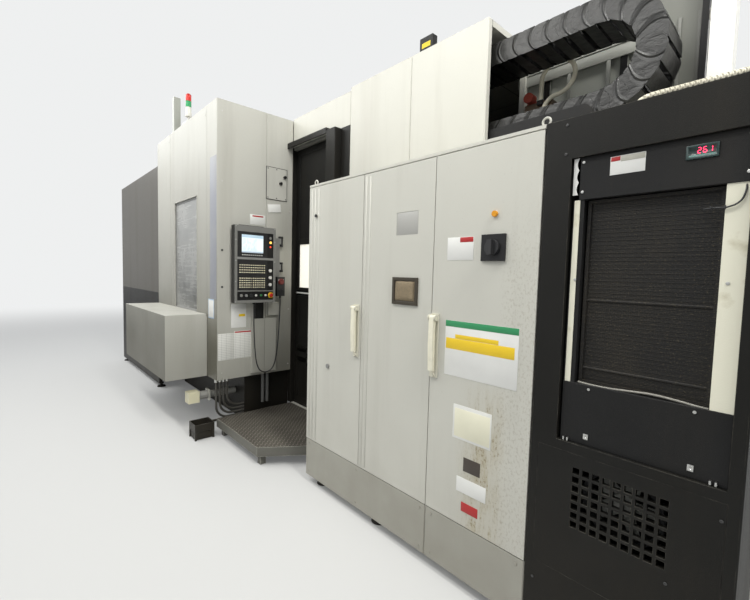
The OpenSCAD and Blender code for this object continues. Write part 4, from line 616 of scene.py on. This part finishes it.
# Painted shade: darker towards the floor on the sides that face the aisle, darker low down all round, and
# darker towards the back below 2.6 m.
painted_shade = fade(tower_paint, "z", 2.95, 0.8) * towards_aisle * 0.66 + fade(tower_paint, "z", 1.5, 0.55) * 0.34
painted_shade = painted_shade + fade(tower_paint, "y", 0.94, 1.12) * fade(tower_paint, "z", 2.6, 2.0) * 0.32
recolour(tower_paint, painted_shade * (tower_paint.noise(1.7, 5) * 0.5 + 0.75), (0.115, 0.11, 0.085))
dress(tower_paint, "tower_shell", "tool_shelf")
service_paint = paint("service_panel_paint", tower_grey, (0.1, 0.1, 0.09), 330, 1.3)
service_face = inside(service_paint, (None, 0.899, 2.352), (None, 1.129, 2.674))
recolour(service_paint, 1 - service_face, (0.055, 0.055, 0.05))
pick_out(service_paint, ((4.2175, 1.03, 2.46), (None, 1.13, 2.64), (0.012, 0.012, 0.012), 0.3))
dress(service_paint, "service_panel")
fitting_paint = paint("fitting_paint", (0.375, 0.37, 0.33), (0.22, 0.22, 0.2), 330, 1.2)
pick_out(
    fitting_paint,
    ((None, 0.765, 1.1185), (None, 0.865, 1.3), (0.014, 0.014, 0.014), 0.35),
    (any_place, (None, None, 0.5285), (0.13, 0.13, 0.125), 0.45),
    # Painted shadow: the fittings above 1.6 m are black, as the shadow beside the control panel.
    ((None, None, 1.6), any_place, (0.016, 0.016, 0.016), 0.4),
)
dress(fitting_paint, "side_fittings")
mast_paint = paint("mast_paint", (0.62, 0.61, 0.56), (0.5, 0.5, 0.45), 500, 0.4, 0.3, 0.002)
pick_out(mast_paint, (any_place, (3.0, None, None), (0.36, 0.37, 0.33)))
for low, high, colour in (
    (3.371, 3.439, (0.7, 0.7, 0.62)), (3.439, 3.505, (0.02, 0.3, 0.1)), (3.505, 3.571, (0.62, 0.03, 0.02)),
    (3.571, 3.6, (0.5, 0.03, 0.02)),
):
    pick_out(mast_paint, ((3.0, None, low), (3.3, None, high), colour, 0.18))
dress(mast_paint, "signal_mast")
motor_paint = paint("motor_paint", (0.3, 0.3, 0.28), (0.45, 0.45, 0.42), 500, 0.8, 0.4, 0.002)
pick_out(
    motor_paint,
    (any_place, (None, 0.3151, None), (0.74, 0.7, 0.5), 0.4),
    (any_place, (3.853, 0.27, None), (0.05, 0.05, 0.05), 0.4),
    ((None, 0.4099, None), (None, 0.4251, None), (0.55, 0.54, 0.48), 0.3),
)
dress(motor_paint, "magazine_motor")

# Oil chiller
# The core's black sheets with a cream strip at each side of the filter, and
# the small pieces that are fixed on them.
core_paint = paint("chiller_core_paint", (0.012, 0.012, 0.012), (0.07, 0.07, 0.07), 420, 0.4)
for low_x, high_x in ((7.403, 7.4245), (7.8665, None)):
    strip = inside(core_paint, (low_x, None, 1.1845), (high_x, None, 1.9155))
    recolour(core_paint, strip, (0.8, 0.78, 0.64), 0.42)
    recolour(core_paint, strip * core_paint.clouds(13, 6, 0.6, 0.74) * 0.6, (0.5, 0.45, 0.3))
pick_out(core_paint, (any_place, (None, None, 0.9405), (0.055, 0.055, 0.055)))
dress(core_paint, "chiller_core")
steel = Finish("bright_steel", Metallic=1.0, Base_Color=(0.56, 0.56, 0.54))
steel.set(Roughness=steel.noise(300, 2) * 0.25 + 0.22)
screw_black = plastic("blackened_screw", (0.05, 0.05, 0.05), 0.3)


def sink(piece, direction, border, depth):
    """Insets the piece's largest face that looks along a direction, and sinks it"""
    bpy.context.view_layer.objects.active = piece
    bpy.ops.object.mode_set(mode="EDIT")
    bpy.ops.mesh.select_all(action="DESELECT")
    bpy.ops.mesh.select_mode(type="FACE")
    shell = bmesh.from_edit_mesh(piece.data)
    facing = [f for f in shell.faces if f.normal.dot(Vector(direction)) > 0.9]
    max(facing, key=lambda f: f.calc_area()).select_set(True)
    bmesh.update_edit_mesh(piece.data)
    bpy.ops.mesh.inset(thickness=border)
    bpy.ops.mesh.extrude_region_move(TRANSFORM_OT_translate={"value": tuple(-depth * d for d in direction)})
    bpy.ops.object.mode_set(mode="OBJECT")


def copies(piece, shifts):
    """Copies of a piece with their own meshes, moved by the shifts"""
    made = []
    for shift in shifts:
        twin = piece.copy()
        twin.data = piece.data.copy()
        twin.data.transform(Matrix.Translation(shift))
        scene_objects.link(twin)
        made.append(twin)
    return made


def unite(name, parts):
    """Joins finished pieces of one body into one object"""
    bpy.ops.object.select_all(action="DESELECT")
    for part in parts:
        part.select_set(True)
    bpy.context.view_layer.objects.active = parts[0]
    bpy.ops.object.join()
    parts[0].name = name
    return parts[0]


def screws(name, places, radius, height, direction, finish, body="machine"):
    """Socket screws with domed rims, all in one object"""
    bpy.ops.mesh.primitive_cylinder_add(
        vertices=20, radius=radius, depth=height,
        rotation=Vector(direction).to_track_quat("Z", "Y").to_euler(),
        location=Vector(places[0]) - corner + Vector(direction) * (height / 2),
    )
    one = bpy.context.object
    bpy.ops.object.transform_apply()
    soften(one, min(radius, height) * 0.35)
    sink(one, direction, radius * 0.3, height * 0.45)
    bpy.ops.object.shade_smooth_by_angle(angle=math.radians(35))
    wear(one, finish)
    whole = unite(name, [one] + copies(one, [Vector(place) - Vector(places[0]) for place in places[1:]]))
    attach(whole, body)
    return whole


aisle = (0, -1, 0)
header_places = (
    (7.367, 2.1), (7.367, 2.215), (7.93, 2.1), (7.93, 2.215), (7.789, 0.55), (7.922, 0.84), (7.32, 0.3),
    (7.93, 0.3),
)
core_places = (
    (7.498, 0.595, 1.168), (7.831, 0.595, 1.168), (7.421, 0.599, 1.6), (7.888, 0.599, 1.6),
    (7.432, 0.595, 1.945), (7.918, 0.595, 1.945), (7.432, 0.595, 2.06), (7.918, 0.595, 2.06),
)
screws("header_screws", [(x, door_face, z) for x, z in header_places], 0.0055, 0.003, aisle, screw_black)
screws("core_screws", core_places, 0.0055, 0.003, aisle, steel)
for x in (7.4975, 7.831):
    clip = slab(f"filter_clip_{x}", (x - 0.009, x + 0.009), (0.5905, 0.5955), (0.966, 0.988), steel, 0.001)
    sink(clip, aisle, 0.005, 0.002)
for x in (7.415, 7.43, 7.885, 7.9):
    slab(f"slot_clip_{x}", (x - 0.003, x + 0.003), (0.584, 0.5955), (0.9415, 0.956), steel, 0.0008)
on_core, over_core = (0.594, 0.5952), (0.5934, 0.5942)
grey_field = card("grey_field", (0.45, 0.44, 0.38))
slabs(
    "machine",
    ("chiller_label", (7.527, 7.641), on_core, (1.994, 2.062), white_card, 0.0003),
    ("chiller_label_corner", (7.529, 7.56), over_core, (2.044, 2.06), red_card, 0.0001),
    ("chiller_label_field", (7.562, 7.639), over_core, (2.04, 2.06), grey_field, 0.0001),
)
bezel_teal = plastic("bezel_teal", (0.02, 0.045, 0.042), 0.25)
bezel = slab("display_bezel", (7.757, 7.843), (0.5895, 0.5955), (2.006, 2.052), bezel_teal, 0.0015)
sink(bezel, aisle, 0.006, 0.002)
key_teal = card("key_teal", (0.16, 0.3, 0.27))
slab("display_keys", (7.764, 7.836), (0.5905, 0.5925), (2.012, 2.019), key_teal, 0.0006)
glow = Finish("display_glow", Base_Color=(0.4, 0.0, 0.02), Roughness=0.3, Emission_Strength=5.0)
glow.set(Emission_Color=(1.0, 0.03, 0.1), Coat_Weight=glow.clouds(80, 2, 0.3, 0.7) * 0.4)
strokes = {"2": "abged", "6": "afgedc", "1": "bc"}
bars = {
    "a": (0, 1, 0), "b": (1, 0.5, 1), "c": (1, 0, 1), "d": (0, 0, 0), "e": (0, 0, 1), "f": (0, 0.5, 1),
    "g": (0, 0.5, 0),
}
digit_step, digit_wide, digit_high, half_bar = 0.0145, 0.0085, 0.0175, 0.0009
digits = []
for place, digit in enumerate("261"):
    left = 7.788 + place * digit_step
    for across, rise, upright in [bars[stroke] for stroke in strokes[digit]]:
        bar_x, bar_z = left + across * digit_wide, 2.024 + rise * digit_high
        if upright:
            width = (bar_x - half_bar, bar_x + half_bar)
            reach = (bar_z + 0.0015, bar_z + digit_high / 2 - 0.0015)
        else:
            width = (left + 0.001, left + digit_wide - 0.001)
            reach = (bar_z - half_bar, bar_z + half_bar)
        digits.append(slab("digit_bar", width, (0.5912, 0.5918), reach, glow, 0.0002, "machine", 1))
unite("display_digits", digits)


def wavy(u, v):
    """A point of the bracket, whose free edge runs in three waves"""
    edge_x = 7.417 - 0.007 * abs(math.sin(v * math.pi * 3)) if u > 0.9 else 7.396 + u * 0.012
    return edge_x, 0.5925 - 0.002 * u, 1.935 + v * 0.143


bracket = grid_sheet("wavy_bracket", (2, 36), wavy, 0.0015)
bpy.ops.object.shade_smooth_by_angle(angle=math.radians(35))
wear(bracket, white_card)
hem_line = (
    (7.45, 1.187), (7.5, 1.184), (7.56, 1.184), (7.64, 1.19), (7.704, 1.194), (7.78, 1.19), (7.837, 1.184),
    (7.864, 1.183),
)
# The hem binding's pale grey is partly painted sheen along the filter's sagging lower edge.
hem_painted_sheen = plastic("hem_painted_sheen", (0.26, 0.25, 0.22), 0.22)
hem = hose("filter_hem", [Vector((x, 0.612, z)) - corner for x, z in hem_line], 0.0045, hem_painted_sheen)
lead_line = (
    (7.914, 0.605, 1.918), (7.914, 0.594, 1.885), (7.902, 0.592, 1.855), (7.878, 0.591, 1.842),
    (7.845, 0.593, 1.841), (7.812, 0.606, 1.842), (7.808, 0.619, 1.842),
)
lead = hose("tied_lead", [Vector(point) - corner for point in lead_line], 0.0028, rubber)
for piece in (bracket, hem, lead):
    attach(piece, "machine")
for x in (7.868, 7.832):
    slab(f"cable_tie_{x}", (x - 0.002, x + 0.002), (0.587, 0.5985), (1.836, 1.847), black_plastic, 0.0008)

# Control panel
# A dark grey frame on a black case, a pale lit screen, and cream sealed keys
# below it. The frame's edges are lightened as a painted highlight.
# Its pale edge colour is a painted highlight along the frame's edges.
panel_paint = paint("panel_paint", (0.185, 0.185, 0.175), (0.6, 0.6, 0.56), 600, 0.5, 0.36, 0.003)
pick_out(
    panel_paint,
    (any_place, (4.3305, None, None), (0.01, 0.01, 0.01), 0.4),
    ((4.331, 0.541, 1.713), (None, 0.919, 1.737), (0.24, 0.24, 0.23), 0.3),
    ((4.3262, 0.863, 1.329), (4.3306, 0.93, 1.395), (0.78, 0.5, 0.02), 0.35),
    ((4.3262, 0.87, 1.875), (None, 0.905, 1.91), (0.8, 0.52, 0.03), 0.2),
    ((4.3262, 0.87, 1.835), (None, 0.905, 1.862), (0.7, 0.05, 0.03), 0.2),
    (any_place, (4.253, None, None), (0.2, 0.2, 0.19), 0.4),
)
dress(panel_paint, "control_panel")
field_black, field_gloss = (0.014, 0.014, 0.015), 0.4
field = plastic("key_field", field_black, 0.32)
keys = inside(field, (4.3292, None, 1.41), (None, None, 1.714))
recolour(field, keys, (1.0, 0.93, 0.68), field_gloss)
for low, high in (((None, 0.781, 1.41), (None, 0.791, 1.72)), ((None, 0.685, 1.41), (None, 0.696, 1.575))):
    recolour(field, keys * inside(field, low, high), field_black, field_gloss)
pick_out(field, ((4.3311, None, 1.74), (None, None, 1.77), (0.8, 0.8, 0.77), field_gloss))
dress(field, "panel_face")
screen = Finish("lit_screen", Roughness=0.15, Base_Color=(0.3, 0.36, 0.42), Emission_Strength=0.9)
rows = screen.ramp(screen.bands("Z", 28.0), (0.55, 0), (0.7, 1))
dashes = screen.clouds(60, 1, 0.5, 0.54, (1, 1, 0.4)) * rows
listing = dashes * inside(screen, (None, 0.6, 1.8), (None, 0.74, 1.92))
shown = screen.mix(listing, (0.76, 0.84, 0.82), (0.46, 0.53, 0.53))
for low, high, colour in (
    ((None, 0.587, 1.925), (None, 0.808, 1.953), (0.3, 0.44, 0.52)),
    ((None, 0.745, 1.81), (None, 0.8, 1.9), (0.88, 0.93, 0.9)),
    ((None, 0.587, 1.781), (None, 0.808, 1.793), (0.3, 0.38, 0.45)),
):
    shown = screen.mix(inside(screen, low, high), shown, colour)
screen.set(Emission_Color=shown, Coat_Weight=screen.noise(20, 2) * 0.6)
slab("screen", (4.328, 4.3297), (0.5855, 0.8085), (1.7805, 1.9535), screen, 0.0006, "control_panel")
to_end = (1, 0, 0)
panel_places = [(4.332, y, z) for y in (0.526, 0.934) for z in (1.302, 1.5, 1.7, 1.9, 2.028)]
screws("panel_screws", panel_places, 0.0042, 0.0012, to_end, steel, "control_panel")
for name, place, radius, colour, light_colour, strength in (
    ("amber_lamp", (4.3322, 0.8875, 1.8925), 0.0125, (0.7, 0.4, 0.03), (1.0, 0.62, 0.16), 1.3),
    ("red_lamp", (4.33, 0.887, 1.848), 0.0078, (0.6, 0.02, 0.01), (1.0, 0.08, 0.03), 1.5),
):
    lit = Finish("lit_" + name, Base_Color=colour, Roughness=0.2)
    lit.set(Emission_Color=light_colour, Emission_Strength=strength)
    lit.bump(lit.noise(400, 1), 0.0003)
    screws(name, [place], radius, 0.002, to_end, lit, "control_panel")

# Pendant's fittings
# The red hand wheel with its pale hub, and two selector caps beside it.
dial_finish = plastic("hand_wheel_plastic", (0.15, 0.022, 0.018), 0.3)
pick_out(dial_finish, ((4.3385, 1.009, 1.488), (None, 1.033, 1.512), (0.62, 0.4, 0.37), 0.3))
dress(dial_finish, "handwheel_dial")
cap_white = plastic("scale_ring", (0.66, 0.66, 0.62))
cap_places = [(4.312, y, 1.515) for y in (1.0, 1.042)]
screws("pendant_caps", cap_places, 0.011, 0.0045, to_end, cap_white, "control_panel")

# Cards, film and screws on the tower
# Blank cards and papers on the side, one of them askew, and a strip of
# bluish film and a sticker on the front.
side_face = 4.21
side, side_over = (side_face, 4.2111), (4.211, 4.2115)
ruled_form = card("ruled_form", (0.7, 0.7, 0.66), 0.6, 0.85)
row_pitch, column_pitch = 0.017, 0.047
x, y, z = ruled_form.split()
rows = ruled_form.ramp((z * (1 / row_pitch)).of("FRACT"), (0.0, 1), (0.22, 1), (0.3, 0))
columns = ruled_form.ramp((y * (1 / column_pitch)).of("FRACT"), (0.0, 1), (0.05, 1), (0.09, 0))
recolour(ruled_form, rows * 0.35 + columns * 0.4, (0.22, 0.22, 0.21))
slabs(
    "machine",
    ("side_card", side, (0.724, 0.888), (2.072, 2.173), white_card, 0.0004),
    ("side_card_bar", side_over, (0.748, 0.866), (2.15, 2.164), red_card, 0.0001),
    ("side_plate", side, (0.532, 0.688), (1.036, 1.272), white_card, 0.0004),
    ("side_plate_field", side_over, (0.612, 0.676), (1.146, 1.172), yellow_card, 0.0001),
    ("left_paper", side, (0.404, 0.56), (0.723, 0.985), ruled_form, 0.0004),
    ("right_paper", (4.2104, 4.2116), (0.563, 0.797), (0.726, 1.002), ruled_form, 0.0004),
    ("right_paper_head", (4.2115, 4.2119), (0.57, 0.79), (0.984, 0.998), red_card, 0.0001),
)
slab("askew_card", (4.216, 4.217), (0.915, 1.062), (2.219, 2.302), white_card, 0.0004)
hung_at = Vector((side_face, 0.99, 2.262)) - corner
bpy.ops.transform.rotate(value=math.radians(-7), orient_axis="X", center_override=tuple(hung_at))
bpy.ops.object.transform_apply()
slab("pen_tray", (side_face, 4.233), (0.6, 0.86), (2.045, 2.056), black_paint, 0.001)
side_places = [(side_face, 0.442, z) for z in (0.6, 2.45, 3.1)]
side_places += [(side_face, 1.17, z) for z in (0.6, 1.2, 2.25, 3.1)]
screws("side_screws", side_places, 0.0065, 0.003, to_end, steel)
black_places = [(side_face, 0.442, z) for z in (1.442, 1.797)]
screws("side_black_screws", black_places, 0.011, 0.004, to_end, screw_black)
service_places = [(4.2165, y, z) for y in (0.912, 1.01) for z in (2.366, 2.66)] + [(4.2165, 1.116, 2.366)]
screws("service_panel_screws", service_places, 0.0065, 0.0025, to_end, screw_black)
film = Finish("blue_film", Specular_IOR_Level=0.3)
film.set(
    Base_Color=film.mix(film.clouds(3, 5, 0.4, 0.65, (1, 1, 0.4)), (0.3, 0.31, 0.345), (0.37, 0.37, 0.365)),
    Roughness=film.noise(50, 3) * 0.2 + 0.35,
)
film.bump(film.noise(35, 3), 0.0006)
pale_blue = card("pale_blue_card", (0.4, 0.52, 0.66))
slabs(
    "machine",
    ("film_strip", (4.04, 4.203), (0.3898, 0.3911), (1.322, 2.687), film, 0.0004),
    ("sticker_rim", (3.997, 4.142), (0.3896, 0.3911), (1.127, 1.318), pale_blue, 0.0005),
    ("sticker_face", (4.006, 4.133), (0.3891, 0.3898), (1.138, 1.307), white_card, 0.0002),
)
front_places = [(x, 0.391, z) for x in (2.26, 2.72, 3.92) for z in (0.6, 1.75, 3.12)]
screws("tower_front_screws", front_places, 0.0065, 0.003, aisle, steel)

# Loading window
# The sliding pane is painted grey, lighter towards the top, with pale haze
# and streaks; its thin frame is darker.
loading = paint("loading_frame", (0.3, 0.3, 0.29), (0.5, 0.5, 0.48), 700, 0.3, 0.3, 0.002)
through = inside(loading, (2.946, None, 1.178), (3.655, None, 2.351))
haze = loading.clouds(2.3, 7, 0.4, 0.66, (1, 1, 0.8), 0.62)
streaks = loading.clouds(7, 7, 0.5, 0.7, (0.35, 1, 5), 0.7)
# The pane's grey lightens from the bottom towards the top.
dull = loading.mix(fade(loading, "z", 1.25, 2.3), (0.095, 0.097, 0.092), (0.32, 0.325, 0.32))
recolour(loading, through, dull, 0.22)
recolour(loading, through * haze * 0.45, (0.5, 0.5, 0.48), 0.4)
recolour(loading, through * streaks * 0.3, (0.56, 0.56, 0.54), 0.45)
dress(loading, "tool_door")

# Operator doorway
# Steel trims and the handle's bar on the black door, an angle rail under the
# canopy lip, and the rubber sill.
door_paint = paint("operator_door_paint", (0.0055, 0.0055, 0.005), (0.06, 0.06, 0.055), 420, 0.5, 0.4)
pick_out(door_paint, ((4.24, 1.2536, 1.3705), (4.91, 1.2727, 1.3895), (0.6, 0.6, 0.57), 0.25))
dress(door_paint, "operator_door")
brushed = Finish("brushed_trim", Metallic=0.25, Base_Color=(0.23, 0.23, 0.205))
brushed.set(Roughness=brushed.noise(7, 5, (1, 1, 60)) * 0.25 + 0.25)
for z in ((0.742, 0.816), (0.632, 0.688)):
    slab(f"door_trim_{z[0]}", (4.24, 4.9), (1.253, 1.2565), z, brushed, 0.0008, "operator_door")
sill_rubber = plastic("sill_rubber", (0.02, 0.02, 0.019), 0.5, 300)
slabs(
    "machine",
    ("canopy_rail_leaf", (4.23, 4.9), (1.209, 1.244), (2.896, 2.9), brushed, 0.0008),
    ("canopy_rail_drop", (4.23, 4.9), (1.209, 1.213), (2.9, 2.927), brushed, 0.0008),
    ("doorway_sill", (4.214, 5.48), (1.2068, 1.252), (0.1, 0.156), sill_rubber, 0.004),
)


# Step platform
# The tread pattern lies on the top only; the deep rim is plain painted sheet
# with a painted highlight along its edge.
def lozenge(finish, along, across):
    """A mask of one bar in each square cell, laid along its first direction"""
    a, b = along.of("FRACT") - 0.5, across.of("FRACT") - 0.5
    far = a.of("ABSOLUTE") ** 2.0 * 5.2 + b.of("ABSOLUTE") ** 2.0 * 62.0
    return finish.ramp(far, (0.55, 1), (1.0, 0))


step = Finish("step_finish")
top = step.ramp(step.facing(2), (0.5, 0), (0.6, 1))
x, y, z = step.split()
tread_pitch = 0.046
u, v = (x + y) * (1 / tread_pitch), (x - y) * (1 / tread_pitch)
cell_at = step.node("CombineXYZ", {}, {0: u, 1: v, 2: 0.5})
cells = step.node("TexChecker", {}, {"Vector": cell_at, "Scale": 1.0}, 1)
raised = cells * lozenge(step, u, v) + (1 - cells) * lozenge(step, v, u)
grime = step.clouds(3, 6, 0.35, 0.7)
between = step.mix(grime, (0.085, 0.077, 0.062), (0.038, 0.033, 0.026))
tread_tone = step.mix(raised * (1 - grime * 0.5), between, (0.27, 0.25, 0.215))
round_normal, edges = step.edge(0.007)
rim_tone = step.mix(step.noise(6, 4), (0.092, 0.09, 0.076), (0.15, 0.146, 0.124))
# Painted highlight: a pale line along the rim's edges.
rim_tone = step.mix(edges, rim_tone, (0.62, 0.6, 0.52))
step.set(Base_Color=step.mix(top, rim_tone, tread_tone), Roughness=0.55 - raised * top * 0.2)
step.bump(raised * top, 0.002, round_normal)
dress(step, "step_platform")

# Energy chain
# Black links with a grey wavy line at each, which follows the chain's bend.
# The grey fades out towards the bend as painted shade.
links = Finish("chain_links", Specular_IOR_Level=0.5)
x, y, z = links.split()
bend_x, bend_z, bend_radius, link_pitch, half_link = 7.2 - corner.x, 2.8103, 0.26, 0.104, 0.06
past, height = x - bend_x, (z - bend_z).of("ABSOLUTE")
on_bend = past > 0.0
reach = (past * past + height * height).of("SQRT")
travelled = past + on_bend * (past.of("ARCTAN2", height) * bend_radius - past)
off_line = (height + on_bend * (reach - height) - bend_radius) * (1 / half_link)
curl = travelled * (1 / link_pitch) - off_line * off_line * 0.22
folds = links.ramp(curl.of("FRACT"), (0.0, 0), (0.1, 1), (0.2, 0.25), (0.85, 0.45), (1.0, 0))
creases = links.noise(11, 5, (1, 1, 1.6), 0.62)
dust = links.clouds(26, 6, 0.46, 0.68, (1.5, 1, 0.6), 0.7)
plate = fade(links, links.facing(1) * -1.0, 0.3, 0.7)
grey_share = plate * (folds * 0.75 + dust * 0.25) + (1 - plate) * dust * 0.12
# Painted shade: the grey fades to about a third towards the bend.
grey_share = grey_share * (fade(links, "x", 7.3, 6.6) * 0.65 + 0.35)
links.set(
    Base_Color=links.mix(grey_share, (0.005, 0.005, 0.0046), (0.04, 0.039, 0.035)),
    Roughness=creases * 0.25 + 0.28,
)
links.bump(creases * 0.6 + folds * plate * 0.5, 0.014, links.edge(0.002)[0], 0.9)
dress(links, "energy_chain")

# Rear covers and roofs
# Sheets in the light paint with dark seams, screws, hatches and vents.
rear_paint = paint("rear_cover_paint", warm_grey, rubbed_grey, 330, 1.2)
x, y, z = rear_paint.split()
back_face, right_end, housing_top = 3.6, 7.969, 2.45
first_seam, back_pitch, seam_width = 0.081, 0.872, 0.004


def seam(value, first, pitch, width):
    """A mask of thin lines across a value, a pitch apart"""
    return ((value - first) * (1 / pitch)).of("FRACT") < width / pitch


def outline(finish, low, high, width):
    """A mask of a line round a box on the right end, given along Y and Z"""
    inner = [limit + width for limit in low], [limit - width for limit in high]
    return inside(finish, (None, *low), (None, *high)) - inside(finish, (None, *inner[0]), (None, *inner[1]))


def off_back(low, high):
    return back_face + low, back_face + high


upright = seam(x, first_seam - corner.x, back_pitch, seam_width) * (y < back_face + 0.0003 - corner.y)
level = seam(y, 1.248 - corner.y, 1.176, seam_width) * (y < 3.59 - corner.y)
recolour(rear_paint, upright.of("MAXIMUM", level), (0.06, 0.06, 0.055), 0.6)
end_face = x > right_end - corner.x
for low, high in (((None, 1.55, 1.7), (None, 2.1, 2.1)), ((None, 2.7, 0.45), (None, 3.25, 0.85))):
    slots = inside(rear_paint, low, high) * seam(z, 0.0, 0.032, 0.013)
    recolour(rear_paint, end_face * slots, (0.01, 0.01, 0.01), 0.6)
recolour(rear_paint, end_face * outline(rear_paint, (2.5, 1.1), (3.35, 2.1), 0.008), (0.05, 0.05, 0.045), 0.6)
dress(rear_paint, "back_panels", "roof_panels", "rear_housing")
rearward, upward = (0, 1, 0), (0, 0, 1)
seams_x = [first_seam + i * back_pitch for i in range(1, 9)]
beside = (-0.03, 0.034)
roof_places = [
    (x + off_seam, y, height) for seams, height in ((seams_x[4:7], 3.25), (seams_x[2:4], 3.205))
    for x in seams for off_seam in beside for y in (1.4, 2.36, 2.5, 3.52)
]
back_places = [(x + off_seam, back_face, z) for x in seams_x for off_seam in beside for z in (0.2, 1.2, 2.2)]
screws("back_screws", back_places, 0.008, 0.003, rearward, steel)
screws("roof_screws", roof_places, 0.008, 0.003, upward, steel)


def louvres(name, x, z, rows):
    """A plate on the back with a column of pressed hoods over dark slots"""
    plate = slab(name, x, off_back(0, 0.0012), z, rear_paint, 0.0004)
    low, pitch = z[0] + 0.02, (z[1] - z[0] - 0.04) / rows
    hood_z = (low + 0.012, low + pitch * 0.72)
    hood = slab("hood", (x[0] + 0.03, x[1] - 0.03), off_back(0.0008, 0.0044), hood_z, rear_paint, 0.0017)
    hoods = [hood] + copies(hood, [Vector((0, 0, row * pitch)) for row in range(1, rows)])
    slots_x, slots_z = (x[0] + 0.032, x[1] - 0.032), (z[0] + 0.026, z[1] - 0.026)
    slab(name + "_slots", slots_x, off_back(0.0008, 0.0016), slots_z, screw_black, 0.0002)
    unite(name, [plate] + hoods)


vents = ((0.42, 2.05, 9), (2.62, 2.3, 11), (4.3, 2.3, 11), (6.8, 1.7, 9), (6.8, 0.3, 6))
for number, (low_x, low_z, rows) in enumerate(vents):
    louvres(f"back_vent_{number}", (low_x, low_x + 0.52), (low_z, low_z + 0.05 * rows), rows)
hatches = (
    ((1.05, 1.72), (0.35, 1.9)), ((2.8, 3.4), (0.45, 1.85)),
    ((4.55, 5.18), (0.35, 1.95)), ((5.42, 6.05), (0.35, 1.95)),
)
lip = 0.007
for number, (x, z) in enumerate(hatches):
    gasket_x, gasket_z = (x[0] - lip, x[1] + lip), (z[0] - lip, z[1] + lip)
    slab(f"back_hatch_gasket_{number}", gasket_x, off_back(0, 0.001), gasket_z, sill_rubber, 0.0004)
    slab(f"back_hatch_{number}", x, off_back(0.0005, 0.003), z, rear_paint)
    locks = [(x[1] - 0.05, back_face + 0.003, z[0] + share * (z[1] - z[0])) for share in (0.15, 0.5, 0.85)]
    screws(f"back_hatch_locks_{number}", locks, 0.013, 0.0018, rearward, screw_black)
    for share in (0.12, 0.88):
        middle = z[0] + share * (z[1] - z[0])
        hinge_x, hinge_z = (x[0] - 0.02, x[0] + 0.02), (middle - 0.05, middle + 0.05)
        slab(f"back_hatch_hinge_{number}_{share}", hinge_x, off_back(0.0008, 0.0046), hinge_z, steel, 0.0016)
lid = housing_top + 0.006
for number, x in enumerate(((6.75, 7.3), (7.42, 7.88))):
    slab(f"housing_hatch_{number}", x, (2.1, 3.1), (housing_top, lid), rear_paint, 0.002)
    places = [(lid_x, lid_y, lid) for lid_x in (x[0] + 0.04, x[1] - 0.04) for lid_y in (2.14, 2.6, 3.06)]
    screws(f"housing_hatch_screws_{number}", places, 0.008, 0.003, upward, steel)

# Closing sheet over the pallet bay
# A louvred sheet closes the step between the two roofs.
slab("step_sheet", (2.211, 2.214), (1.25, 3.556), (2.9305, 3.163), rear_paint, 0.001)
hood = slab("step_hood", (2.205, 2.212), (1.45, 1.75), (2.985, 3.007), rear_paint, 0.003)
shifts = [Vector((0, 0.45 * column, 0.04 * row)) for column in range(4) for row in range(4)]
unite("step_hoods", [hood] + copies(hood, shifts[1:]))

# Chiller's end
# A vent and the seam of the lift-off sheet, on the end of the row.
x, y, z = chiller_paint.split()
outer_end = x > right_end - corner.x
slots = inside(chiller_paint, (None, 0.72, 1.55), (None, 1.06, 2.0)) * seam(z, 0.0, 0.03, 0.012)
recolour(chiller_paint, outer_end * slots, (0.002, 0.002, 0.002), 0.7)
lift_off = outline(chiller_paint, (0.64, 0.2), (1.15, 2.15), 0.005)
recolour(chiller_paint, outer_end * lift_off, (0.0015, 0.0015, 0.0015), 0.7)

# Drip tray beside the platform
# A black sheet tray whose rim is lightened, partly rubbed paint and partly a
# painted highlight; a dark box under it stands in for the shadow beneath and
# hides its short legs.
tray_paint = paint("tray_paint", (0.014, 0.014, 0.013), (0.26, 0.25, 0.22), 420, 0.8, 0.35, 0.005)
dress(tray_paint, "coolant_tray")
# Painted shadow: a dark box under the tray, where there is only shade.
slab("tray_shadow_box", (4.101, 4.254), (0.178, 0.346), (0.004, 0.079), tray_paint, 0.006)
